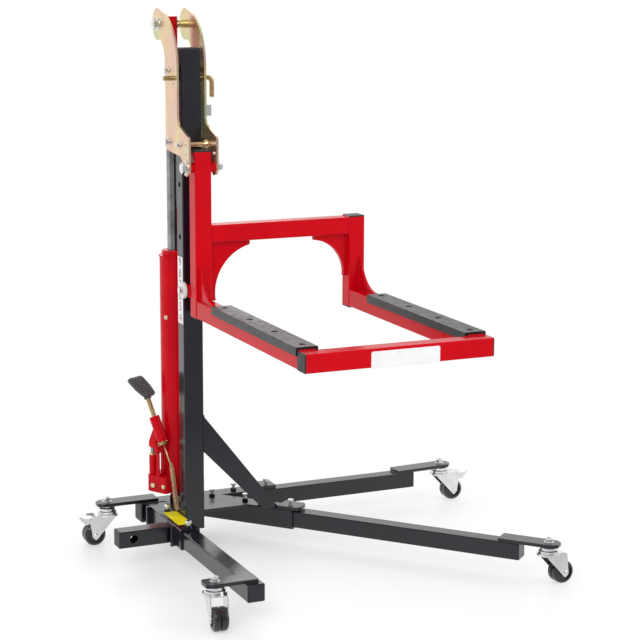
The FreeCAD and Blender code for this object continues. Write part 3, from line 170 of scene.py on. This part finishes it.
def yellowZinc(name, sheen):
    # passivated plating: gold with pink and green clouds and fine rolling marks
    n = Nodes(name)
    cloud = n.noise(8.0, 2.0, 0.5, (1, 1, 0.7))
    stops = [(0.32, (0.56, 0.62, 0.36)), (0.42, (0.80, 0.66, 0.34)), (0.50, (0.80, 0.57, 0.35)),
             (0.58, (0.78, 0.50, 0.40)), (0.68, (0.72, 0.66, 0.38))]
    colour = n.ramp(cloud, stops)
    dark = n.ramp(n.noise(60.0, 4.0), [(0.58, (0, 0, 0)), (0.78, (0.3, 0.3, 0.3))])
    colour = n.mix(dark, colour, (0.44, 0.30, 0.12))
    n.put("Base Color", colour)
    n.put("Metallic", 0.88)
    n.put("Roughness", n.span(n.noise(40.0, 4.0, 0.6, (1, 1, 0.25)), sheen, sheen + 0.14))
    n.put("Normal", n.bump(n.noise(260.0, 3.0, 0.5, (1, 1, 0.2)), 0.08, 0.0004))
    return n.material


def plated(name, deep, light, rough):
    # bright plated steel with a soft mottle
    n = Nodes(name)
    n.put("Base Color", n.ramp(n.noise(30.0, 4.0), [(0.32, deep), (0.66, light)]))
    n.put("Metallic", 1.0)
    n.put("Roughness", n.span(n.noise(80.0, 3.0), rough - 0.06, rough + 0.12))
    n.put("Normal", n.bump(n.noise(500.0, 2.0), 0.10, 0.0003))
    return n.material


def moulded(name, deep, light, rough, grain, strength, coat=0.0):
    # moulded plastic or rubber with a fine grain
    n = Nodes(name)
    n.put("Base Color", n.ramp(n.noise(18.0, 3.0), [(0.3, deep), (0.7, light)]))
    n.put("Roughness", n.span(n.noise(60.0, 3.0), rough - 0.06, rough + 0.08))
    n.put("Normal", n.bump(n.noise(grain, 2.0, 0.5), strength, 0.0005))
    n.put("Specular IOR Level", 0.45)
    n.put("Coat Weight", coat)
    n.put("Coat Roughness", 0.08)
    return n.material


finish = {
    "redPaint": glossPaint("redPaint", (0.52, 0.0004, 0.006), (0.60, 0.0008, 0.008),
                           0.20, 0.05, 0.14, 0.0),
    "blackPaint": glossPaint("blackPaint", (0.0035, 0.0036, 0.0085), (0.008, 0.008, 0.014),
                             0.20, 0.05, 0.5, 0.25),
    "yellowZinc": yellowZinc("yellowZinc", 0.20),
    "pinZinc": plated("pinZinc", (0.42, 0.31, 0.15), (0.60, 0.47, 0.24), 0.22),
    "brightZinc": plated("brightZinc", (0.74, 0.75, 0.77), (0.86, 0.87, 0.88), 0.20),
    "groundSteel": plated("groundSteel", (0.22, 0.22, 0.23), (0.36, 0.36, 0.37), 0.10),
    "blackPlastic": moulded("blackPlastic", (0.012, 0.012, 0.013), (0.022, 0.022, 0.024),
                            0.46, 380.0, 0.20),
    "padBlack": moulded("padBlack", (0.008, 0.008, 0.009), (0.014, 0.014, 0.016),
                        0.34, 300.0, 0.22),
    "pedalRubber": moulded("pedalRubber", (0.060, 0.062, 0.068), (0.095, 0.098, 0.106),
                           0.62, 420.0, 0.35),
    "wheelBlack": moulded("wheelBlack", (0.005, 0.005, 0.006), (0.010, 0.010, 0.011),
                          0.26, 250.0, 0.06, 0.6),
    "nylon": moulded("nylon", (0.74, 0.73, 0.69), (0.84, 0.83, 0.79), 0.42, 200.0, 0.12),
}
slotFinish = {
    "black_paint": "blackPaint", "red_paint": "redPaint", "yellow_zinc": "yellowZinc", "zinc": "brightZinc",
    "black_plastic": "blackPlastic", "pad_black": "padBlack", "nylon": "nylon", "ground_steel": "groundSteel",
    "pedal_rubber": "pedalRubber", "wheel_black": "wheelBlack",
}
pinNodes = ("lock_pin", "lock_stud", "pedal_shaft")  # plated pins, browner than the plates
for part in frame["record"]["subparts"]:
    node = frame["nodes"][part["node"]]
    coat = finish["pinZinc" if part["node"] in pinNodes else slotFinish[part["material_slot"]]]
    for place in node.material_slots:
        place.material = coat
    if not node.material_slots:
        node.data.materials.append(coat)
print("finishes:", len(finish))


# mesh helpers: millimetres in, metres out
def addPiece(name, vertices, faces, coat, body, smooth=True):
    mesh = bpy.data.meshes.new(name)
    mesh.from_pydata([tuple(value / 1000 for value in point) for point in vertices], [], faces)
    mesh.validate()
    mesh.update()
    for face in mesh.polygons:
        face.use_smooth = smooth
    mesh.materials.append(finish[coat])
    piece = bpy.data.objects.new(name, mesh)
    scene.collection.objects.link(piece)
    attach(piece, body)
    return piece


class Heap:
    # gathers the points and faces of many small shapes for one piece
    def __init__(self):
        self.points = []
        self.faces = []

    def add(self, points, faces):
        start = len(self.points)
        self.points.extend(points)
        self.faces.extend([tuple(index + start for index in face) for face in faces])

    def tube(self, path, radius, sides=8, ripple=0.0, pitch=4.0, closed=False, squash=1.0):
        # round bar along a path, its radius may ripple as a weld bead's does
        rings = []
        run = 0.0
        count = len(path)
        side = None
        for index, point in enumerate(path):
            before = path[index - 1] if index or closed else point
            after = path[(index + 1) % count] if index < count - 1 or closed else point
            ahead = (after - before).normalized()
            if side is None:
                side = ahead.orthogonal().normalized()
            side = (side - ahead * side.dot(ahead)).normalized()
            up = ahead.cross(side)
            if index:
                run += (point - path[index - 1]).length
            size = radius * (1 + ripple * math.sin(run / pitch * math.tau))
            ring = []
            for step in range(sides):
                angle = math.tau * step / sides
                ring.append(point + side * (math.cos(angle) * size) + up * (math.sin(angle) * size * squash))
            rings.append(ring)
        faces = []
        last = count if closed else count - 1
        for index in range(last):
            low = index * sides
            high = ((index + 1) % count) * sides
            for step in range(sides):
                after = (step + 1) % sides
                faces.append((low + step, low + after, high + after, high + step))
        if not closed:
            faces.append(tuple(reversed(range(sides))))
            faces.append(tuple((count - 1) * sides + step for step in range(sides)))
        self.add([point for ring in rings for point in ring], faces)

    def thread(self, base, axis, radius, length, pitch, depth):
        # screw thread: a turned sleeve whose radius climbs with the angle
        axis = axis.normalized()
        side = axis.orthogonal().normalized()
        up = axis.cross(side)
        sides = 20
        rows = max(4, int(length / pitch * 5))
        points = []
        for row in range(rows + 1):
            height = length * row / rows
            for step in range(sides):
                angle = math.tau * step / sides
                phase = (height / pitch - step / sides) % 1.0
                size = radius - depth * abs(phase - 0.5) * 2
                points.append(base + axis * height + side * (math.cos(angle) * size)
                              + up * (math.sin(angle) * size))
        faces = []
        for row in range(rows):
            for step in range(sides):
                after = (step + 1) % sides
                faces.append((row * sides + step, row * sides + after,
                              (row + 1) * sides + after, (row + 1) * sides + step))
        faces.append(tuple(reversed(range(sides))))
        faces.append(tuple(rows * sides + step for step in range(sides)))
        self.add(points, faces)


def spaced(points, gap, closed=False):
    # points every few millimetres along straight runs
    path = []
    ends = points + points[:1] if closed else points
    for start, end in zip(ends, ends[1:]):
        steps = max(1, round((end - start).length / gap))
        path += [start.lerp(end, step / steps) for step in range(steps)]
    if not closed:
        path.append(ends[-1])
    return path


def frameRing(middle, first, second, halfFirst, halfSecond, corner=4.0):
    # rectangle with clipped corners, in the plane of two directions
    points = []
    for u, w in ((1, 1), (-1, 1), (-1, -1), (1, -1)):
        along = first * (u * halfFirst)
        across = second * (w * halfSecond)
        inA = first * (u * corner)
        inB = second * (w * corner)
        pair = [middle + along + across - inB, middle + along + across - inA]
        points += pair if u * w > 0 else pair[::-1]
    return points


xWay, yWay, zWay = Vector((1, 0, 0)), Vector((0, 1, 0)), Vector((0, 0, 1))


def at(x, y, z):
    return Vector((x, y, z))


# every weld bead: gap between its points, sides, and the share and length of its ripple
beadSet = {"gap": 1.1, "sides": 7, "ripple": 0.16, "pitch": 4.2}


def addWelds(name, rings, lines, radius, coat, body):
    heap = Heap()
    b = beadSet
    for ring in rings:
        heap.tube(spaced(ring, b["gap"], True), radius, b["sides"], b["ripple"], b["pitch"], closed=True)
    for line in lines:
        heap.tube(spaced(line, b["gap"]), radius, b["sides"], b["ripple"], b["pitch"])
    addPiece(name, heap.points, heap.faces, coat, body)


# weld beads on the carrier frame
carrierFrame = {
    "half": 25.0,
    "postLine": -92.0,
    "postFront": -117.0,
    "armLine": 761.0,
    "armTop": 786.0,
    "beamLine": 978.0,
    "beamLow": 953.0,
    "rightPost": 482.0,
    "frontBarBack": -849.0,
    "gussetFaces": (-99.0, -85.0),
    "leftGusset": (121, 783),             # its reach along the beam and its lower end
    "rightGusset": (104, 829),
    "armGussetFaces": (8.0, 15.0),        # outward from each post's line
    "armGussetTop": 878,
    "armGussetFront": -226,
    "plateLine": (26.0, -67, 789, 823),   # x to each side, y, lower and upper end
    "bead": 1.9,
}


def weldCarrier(c):
    half, right = c["half"], c["rightPost"]
    rings = [frameRing(at(half, c["postLine"], c["beamLine"]), yWay, zWay, half, half),
             frameRing(at(right - half, c["postLine"], c["beamLine"]), yWay, zWay, half, half)]
    for x in (0, right):
        rings.append(frameRing(at(x, c["postFront"], c["armLine"]), xWay, zWay, half, half))
        rings.append(frameRing(at(x, c["frontBarBack"], c["armLine"]), xWay, zWay, half, half))
    lines = []
    leftReach, leftFoot = c["leftGusset"]
    rightReach, rightFoot = c["rightGusset"]
    for y in c["gussetFaces"]:
        lines.append([at(half + leftReach, y, c["beamLow"]), at(half, y, c["beamLow"]),
                      at(half, y, leftFoot)])
        lines.append([at(right - half - rightReach, y, c["beamLow"]), at(right - half, y, c["beamLow"]),
                      at(right - half, y, rightFoot)])
    near, far = c["armGussetFaces"]
    for x in (-far, -near, right + near, right + far):
        lines.append([at(x, c["postFront"], c["armGussetTop"]), at(x, c["postFront"], c["armTop"]),
                      at(x, c["armGussetFront"], c["armTop"])])
    side, y, low, high = c["plateLine"]
    for x in (-side, side):
        lines.append([at(x, y, low), at(x, y, high)])
    addWelds("carrierWelds", rings, lines, c["bead"], "redPaint", "carriage")


weldCarrier(carrierFrame)

# the line of leg C and its sleeve, from where the sleeve starts
diagonalTurn = math.radians(-49.4)
diagonalWay = at(math.cos(diagonalTurn), math.sin(diagonalTurn), 0)
diagonalSide = at(-diagonalWay.y, diagonalWay.x, 0)
diagonalRoot = (91.3, 185.0)

# weld beads on the base
baseWeld = {
    "bead": 2.1,
    "sleeveTop": 118.5,
    "sleeveMid": 88.5,
    "rearFront": 155.0,
    "sleeveHalf": 30,
    "mastHalf": 25,
    "mastSides": (-30, 30),
    "mastFoot": 80,
    "braceTop": 423,
    "braceUnder": 316,
    "drawbarLine": -54,
    "drawbarHalf": 25,
    "outriggerEdges": ((163, 0), (217, 1)),    # y, and how far below the sleeve's top
    "outriggerLap": (-104, -50),
    "lugFaces": (115.5, 121.5, 142.5, 148.5),  # both lugs of the jack's foot
    "lugHalf": 18,
    "sleeveFoot": 60,
}


def weldBase(b):
    top, mid, rear = b["sleeveTop"], b["sleeveMid"], b["rearFront"]
    sleeve, mast = b["sleeveHalf"], b["mastHalf"]
    left, right = b["mastSides"]
    rings = [frameRing(at(-60, rear, mid), xWay, zWay, sleeve, sleeve),
             frameRing(at(-90, b["drawbarLine"], mid), yWay, zWay, b["drawbarHalf"], b["drawbarHalf"])]
    lines = [[at(left, -mast, b["mastFoot"]), at(left, -mast, top), at(left, mast, top)],
             [at(right, mast, b["braceTop"]), at(right, -mast, b["braceTop"]),
              at(right, -mast, b["braceUnder"])],
             [at(left, mast, top), at(right, mast, top)]]
    start, end = b["outriggerLap"]
    for y, below in b["outriggerEdges"]:
        lines.append([at(start, y, top - below), at(end, y, top - below)])
    for y in b["lugFaces"]:
        lines.append([at(-b["lugHalf"], y, top), at(b["lugHalf"], y, top)])
    for way in (-sleeve, sleeve):
        foot = at(*diagonalRoot, 0) + diagonalSide * way
        foot = foot + diagonalWay * ((rear - foot.y) / diagonalWay.y)
        lines.append([at(foot.x, foot.y, b["sleeveFoot"]), at(foot.x, foot.y, top)])
    addWelds("baseWelds", rings, lines, b["bead"], "blackPaint", "base")


weldBase(baseWeld)


legWeld = {
    "bead": 2.0,
    "top": 113.5,
    "aroundA": ((-85, -639), (-47, -639), (-47, -585), (-85, -585)),
    "reachC": 989.5,
    "halfC": 25,
    "acrossD": ((766.5, 160), (763.5, 210)),
}


def weldLegs(s):
    # across the bars' ends and along leg A's bar, on top of the legs
    top = s["top"]
    lines = {"leg_a": [[at(x, y, top) for x, y in s["aroundA"]]]}
    side = diagonalSide * s["halfC"]
    start = at(*diagonalRoot, top) + diagonalWay * s["reachC"]
    lines["leg_c"] = [[start - side, start + side]]
    lines["leg_d"] = [[at(x, y, top) for x, y in s["acrossD"]]]
    for body, runs in lines.items():
        addWelds("legWelds" + body[-1].upper(), [], runs, s["bead"], "blackPaint", body)


weldLegs(legWeld)
print("welds made")

# return spring: a wire coil with its hooked rod
springSet = {
    "top": at(-40.5, 66.4, 250.0),
    "foot": at(-33.0, 44.0, 122.5),
    "hookTop": at(-54.8, 91.1, 312.0),
    "radius": 6.1,
    "wire": 1.35,
    "turns": 31,
    "perTurn": 14,
    "rod": 2.5,
    "eye": 5.2,
    "eyeSteps": 20,
    "eyeWire": 0.8,      # share of the rod's radius
}


def makeSpring(s):
    heap = Heap()
    run = s["foot"] - s["top"]
    ahead = run.normalized()
    side = ahead.orthogonal().normalized()
    up = ahead.cross(side)
    perTurn, eyeSteps = s["perTurn"], s["eyeSteps"]
    path = []
    for step in range(s["turns"] * perTurn + 1):
        share = step / (s["turns"] * perTurn)
        angle = math.tau * step / perTurn
        path.append(s["top"] + run * share + side * (math.cos(angle) * s["radius"])
                    + up * (math.sin(angle) * s["radius"]))
    heap.tube(path, s["wire"], 7)
    # straight rod above it, its lower end bent into an eye that the coil hooks through
    hook = s["hookTop"] - s["top"]
    heap.tube([s["hookTop"], s["top"] + hook * 0.5, s["top"] + hook * 0.02], s["rod"], 10)
    middle = s["top"] - ahead * s["eye"]
    ring = [middle + side * (math.cos(math.tau * step / eyeSteps) * s["eye"])
            + ahead * (math.sin(math.tau * step / eyeSteps) * s["eye"]) for step in range(eyeSteps)]
    heap.tube(ring, s["rod"] * s["eyeWire"], 8, closed=True)
    spring = addPiece("returnSpringCoil", heap.points, heap.faces, "yellowZinc", "base")
    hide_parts("return_spring")


makeSpring(springSet)
print("spring made")

# ribs on the foot lever's pad
leverSet = {
    "tip": at(-87.9, 148.4, 460.6),
    "turn": 30.0,
    "padLean": 54.0,
    "padLong": 78.0,
    "padWide": 64.0,
    "padTop": 10.0,
    "padBack": 12,       # from the lever's tip back to the pad's near end
    "ribs": 7,
    "firstRib": 11.0,
    "ribMargins": 21.0,  # both ends' together
    "ribShort": 6.5,     # how far a rib stops from the pad's edge
    "ribRadius": 2.3,
    "ribSquash": 0.8,
    "nearHalf": 0.38,    # half width at the near end, as a share of the width
    "wideGain": 0.12,    # what it gains over the next share of the length
    "wideReach": 0.45,
}


def makeLeverDetail(s):
    turn = math.radians(s["turn"])
    swing = at(-math.sin(turn), math.cos(turn), 0)
    hinge = at(math.cos(turn), math.sin(turn), 0)
    steep = math.radians(s["padLean"])
    longWay = swing * math.sin(steep) + zWay * math.cos(steep)
    normal = zWay * math.sin(steep) - swing * math.cos(steep)
    base = s["tip"] - longWay * s["padBack"] + normal * s["padTop"]
    heap = Heap()
    for rib in range(s["ribs"]):
        along = s["firstRib"] + rib * (s["padLong"] - s["ribMargins"]) / (s["ribs"] - 1)
        gain = along / (s["padLong"] * s["wideReach"]) * s["padWide"] * s["wideGain"]
        half = min(s["padWide"] / 2, s["padWide"] * s["nearHalf"] + gain) - s["ribShort"]
        middle = base + longWay * along
        path = spaced([middle - hinge * half, middle + hinge * half], 4)
        heap.tube(path, s["ribRadius"], 8, squash=s["ribSquash"])
    addPiece("padRibs", heap.points, heap.faces, "pedalRubber", "lever")


makeLeverDetail(leverSet)
print("lever detail made")

# threads above the casters' nuts and beyond the nuts on the right plate
threadSet = {
    "casters": {"leg_a": (-163.0, -612.0, 136.5), "base": (-206.0, 190.0, 141.5),
                "leg_c": (829.3, -676.1, 136.5), "leg_d": (934.0, 195.0, 136.5)},
    "stem": (6.3, 2.2, 1.1, 0.6),   # radius, length, pitch, depth
    "tailDepth": 0.09,              # share of the radius
    # along X beyond the nuts on the right plate: y, z, start, length, radius, pitch
    "tails": ((132.0, 1562.0, 60.2, 3.6, 9.3, 1.8), (49.0, 1434.0, 55.2, 3.6, 6.3, 1.4),
              (49.0, 1229.0, 55.2, 3.6, 6.3, 1.4), (-42.0, 1228.0, 54.2, 3.6, 5.3, 1.25),
              (-98.0, 1168.0, 58.2, 4.6, 10.3, 2.0), (-36.0, 806.0, 57.2, 3.6, 6.3, 1.4)),
}


def makeThreads(s):
    for body, (x, y, z) in s["casters"].items():
        heap = Heap()
        heap.thread(at(x, y, z), zWay, *s["stem"])
        addPiece("stemThread_" + body, heap.points, heap.faces, "brightZinc", body)
    heap = Heap()
    for y, z, start, length, radius, pitch in s["tails"]:
        heap.thread(at(start, y, z), xWay, radius, length, pitch, radius * s["tailDepth"])
    addPiece("carriageThreads", heap.points, heap.faces, "brightZinc", "carriage")


makeThreads(threadSet)
print("threads made")

# bare labels and the height scale
labelSet = {
    "front": {"x": (156.0, 352.0), "z": (734.0, 778.5), "y": -899.35, "corner": 5},
    "sleeve": {"x": (-77.0, -34.0), "y": (-92.0, 46.0), "z": 118.85, "corner": 2},
    "scale": {"y": (-20.0, 21.0), "z": (701.0, 899.0), "x": -30.35, "corner": 1.5},
    "thick": 0.35,
    "numbers": 6,
    "highest": 9,
    "numberSize": 0.036,
    "numberGap": 33,
    "firstNumber": 17,   # below the scale's top edge
    "numberLift": 0.15,
}


def roundedSheet(width, height, corner):
    # outline of a flat sheet with rounded corners, and the faces of its two sides and its rim
    outline = []
    for cx, cy, start in ((1, 1, 0), (-1, 1, 90), (-1, -1, 180), (1, -1, 270)):
        for step in range(7):
            angle = math.radians(start + 15 * step)
            outline.append((cx * (width / 2 - corner) + math.cos(angle) * corner,
                            cy * (height / 2 - corner) + math.sin(angle) * corner))
    count = len(outline)
    faces = [tuple(range(count)), tuple(reversed(range(count, 2 * count)))]
    faces += [(i, count + i, count + (i + 1) % count, (i + 1) % count) for i in range(count)]
    return outline, faces


def addLabel(name, middle, first, second, width, height, corner, coat, body):
    outline, faces = roundedSheet(width, height, corner)
    out = first.cross(second) * labelSet["thick"]
    points = [middle + first * u + second * w + out for u, w in outline]
    points += [middle + first * u + second * w for u, w in outline]
    addPiece(name, points, faces, coat, body, smooth=False)


def sticker(name, colour, worn, rough):
    n = Nodes(name)
    n.put("Base Color", n.ramp(n.noise(26.0, 4.0), [(0.3, worn), (0.62, colour)]))
    n.put("Roughness", n.span(n.noise(90.0, 3.0), rough - 0.05, rough + 0.1))
    n.put("Normal", n.bump(n.noise(160.0, 2.0), 0.06, 0.0003))
    return n.material


finish["whiteSticker"] = sticker("whiteSticker", (0.86, 0.86, 0.87), (0.80, 0.80, 0.80), 0.30)
finish["yellowSticker"] = sticker("yellowSticker", (0.90, 0.78, 0.0), (0.82, 0.70, 0.01), 0.34)
finish["scaleInk"] = sticker("scaleInk", (0.30, 0.02, 0.09), (0.36, 0.05, 0.12), 0.40)


def makeLabels(s):
    f = s["front"]
    addLabel("frontLabel", at(sum(f["x"]) / 2, f["y"] + s["thick"], sum(f["z"]) / 2), xWay, zWay,
             f["x"][1] - f["x"][0], f["z"][1] - f["z"][0], f["corner"],
             "whiteSticker", "carriage")
    y = s["sleeve"]
    addLabel("sleeveLabel", at(sum(y["x"]) / 2, sum(y["y"]) / 2, y["z"] - s["thick"]), xWay, yWay,
             y["x"][1] - y["x"][0], y["y"][1] - y["y"][0], y["corner"],
             "yellowSticker", "base")
    c = s["scale"]
    addLabel("scaleLabel", at(c["x"] + s["thick"], sum(c["y"]) / 2, sum(c["z"]) / 2), -yWay, zWay,
             c["y"][1] - c["y"][0], c["z"][1] - c["z"][0], c["corner"],
             "whiteSticker", "base")
    for index in range(s["numbers"]):
        words = bpy.data.curves.new("scaleNumber%d" % index, "FONT")
        words.body = str(s["highest"] - index)
        words.size = s["numberSize"]
        words.align_x = "CENTER"
        words.align_y = "CENTER"
        words.extrude = 0.0001
        mark = bpy.data.objects.new("scaleNumber%d" % index, words)
        scene.collection.objects.link(mark)
        height = c["z"][1] - s["firstNumber"] - index * s["numberGap"]
        place = at(c["x"] - s["numberLift"], sum(c["y"]) / 2, height) / 1000
        turned = Matrix((-yWay, zWay, -xWay)).transposed().to_4x4()
        mark.matrix_world = Matrix.Translation(place) @ turned
        words.materials.append(finish["scaleInk"])
        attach(mark, "base")


makeLabels(labelSet)
print("labels made")

# floor and light
lightSet = {
    "key": ((-2.4, -3.2, 3.4), 2.4, 70),
    "fill": ((3.2, -2.4, 2.4), 2.4, 34),
    "back": ((0.6, 3.4, 3.0), 2.6, 40),
    "worldStrength": 0.80,
    "floorReach": (0.45, 1.35),   # the floor turns plain white between these distances
    "floorGlow": 0.45,            # how white it is under the stand, where it keeps the shadow
    "floorDepth": (-1.6, 0.4),    # along Y, where its reflection turns from dim to white
    "skyDepth": (-0.5, 0.3),      # the same for the room's
    "frontTone": 0.45,            # how bright the dim end is
    "floorMiddle": (0.25, -0.2, 0.0),
    "floorHalf": 30.0,
    "aim": (0.2, -0.2, 0.7),
}


def backdrop(tree, source, low, high, frontTone):
    # what the background shows: plain white seen straight, and to a glossy ray
    # white behind the stand and dim in front of it; returns its light and its mask
    paths = tree.nodes.new("ShaderNodeLightPath")
    seen = tree.nodes.new("ShaderNodeMath")
    seen.operation = "MAXIMUM"
    tree.links.new(paths.outputs["Is Camera Ray"], seen.inputs[0])
    tree.links.new(paths.outputs["Is Glossy Ray"], seen.inputs[1])
    split = tree.nodes.new("ShaderNodeSeparateXYZ")
    tree.links.new(source, split.inputs["Vector"])
    depth = tree.nodes.new("ShaderNodeMapRange")
    depth.interpolation_type = "SMOOTHSTEP"
    for name, value in (("From Min", low), ("From Max", high), ("To Min", frontTone), ("To Max", 1.0)):
        depth.inputs[name].default_value = value
    tree.links.new(split.outputs["Y"], depth.inputs["Value"])
    tone = tree.nodes.new("ShaderNodeMath")
    tone.operation = "MAXIMUM"
    tree.links.new(paths.outputs["Is Camera Ray"], tone.inputs[0])
    tree.links.new(depth.outputs["Result"], tone.inputs[1])
    return tone.outputs["Value"], seen.outputs["Value"]


def makeFloor(s):
    mesh = bpy.data.meshes.new("floor")
    size = s["floorHalf"]
    corners = [(-size, -size, 0), (size, -size, 0), (size, size, 0), (-size, size, 0)]
    mesh.from_pydata(corners, [], [(0, 1, 2, 3)])
    floor = bpy.data.objects.new("floor", mesh)
    scene.collection.objects.link(floor)
    material = bpy.data.materials.new("paleFloor")
    material.use_nodes = True
    tree = material.node_tree
    matt = tree.nodes["Principled BSDF"]
    matt.inputs["Base Color"].default_value = (0.95, 0.95, 0.955, 1)
    matt.inputs["Roughness"].default_value = 0.30
    matt.inputs["Specular IOR Level"].default_value = 0.3
    place = tree.nodes.new("ShaderNodeTexCoord")
    away = tree.nodes.new("ShaderNodeVectorMath")
    away.operation = "DISTANCE"
    away.inputs[1].default_value = s["floorMiddle"]
    tree.links.new(place.outputs["Object"], away.inputs[0])
    reach = tree.nodes.new("ShaderNodeMapRange")
    reach.interpolation_type = "SMOOTHSTEP"
    reach.inputs["From Min"].default_value, reach.inputs["From Max"].default_value = s["floorReach"]
    reach.inputs["To Min"].default_value = s["floorGlow"]
    tree.links.new(away.outputs["Value"], reach.inputs["Value"])
    share = tree.nodes.new("ShaderNodeMath")
    share.operation = "MULTIPLY"
    tree.links.new(reach.outputs["Result"], share.inputs[0])
    tone, seen = backdrop(tree, place.outputs["Object"], *s["floorDepth"], s["frontTone"])
    tree.links.new(seen, share.inputs[1])
    white = tree.nodes.new("ShaderNodeEmission")
    tree.links.new(tone, white.inputs["Strength"])
    mixed = tree.nodes.new("ShaderNodeMixShader")
    tree.links.new(share.outputs["Value"], mixed.inputs["Fac"])
    tree.links.new(matt.outputs["BSDF"], mixed.inputs[1])
    tree.links.new(white.outputs["Emission"], mixed.inputs[2])
    tree.links.new(mixed.outputs["Shader"], tree.nodes["Material Output"].inputs["Surface"])
    mesh.materials.append(material)


def makeLights(s):
    for name in ("key", "fill", "back"):
        place, size, power = s[name]
        data = bpy.data.lights.new(name, "AREA")
        data.shape = "SQUARE"
        data.size = size
        data.energy = power
        lamp = bpy.data.objects.new(name, data)
        scene.collection.objects.link(lamp)
        lamp.location = place
        lamp.rotation_mode = "QUATERNION"
        lamp.rotation_quaternion = (Vector(s["aim"]) - Vector(place)).to_track_quat("-Z", "Y")
    world = bpy.data.worlds.new("studio")
    scene.world = world
    world.use_nodes = True
    tree = world.node_tree
    tree.nodes.clear()
    soft = tree.nodes.new("ShaderNodeBackground")
    soft.inputs["Strength"].default_value = s["worldStrength"]
    white = tree.nodes.new("ShaderNodeBackground")
    place = tree.nodes.new("ShaderNodeTexCoord")
    tone, seen = backdrop(tree, place.outputs["Generated"], *s["skyDepth"], s["frontTone"])
    tree.links.new(tone, white.inputs["Strength"])
    for light in (soft, white):
        light.inputs["Color"].default_value = (1, 1, 1, 1)
    mixed = tree.nodes.new("ShaderNodeMixShader")
    out = tree.nodes.new("ShaderNodeOutputWorld")
    tree.links.new(seen, mixed.inputs["Fac"])
    tree.links.new(soft.outputs["Background"], mixed.inputs[1])
    tree.links.new(white.outputs["Background"], mixed.inputs[2])
    tree.links.new(mixed.outputs["Shader"], out.inputs["Surface"])


makeFloor(lightSet)
makeLights(lightSet)
scene.view_settings.view_transform = "Standard"
print("floor and lights set")
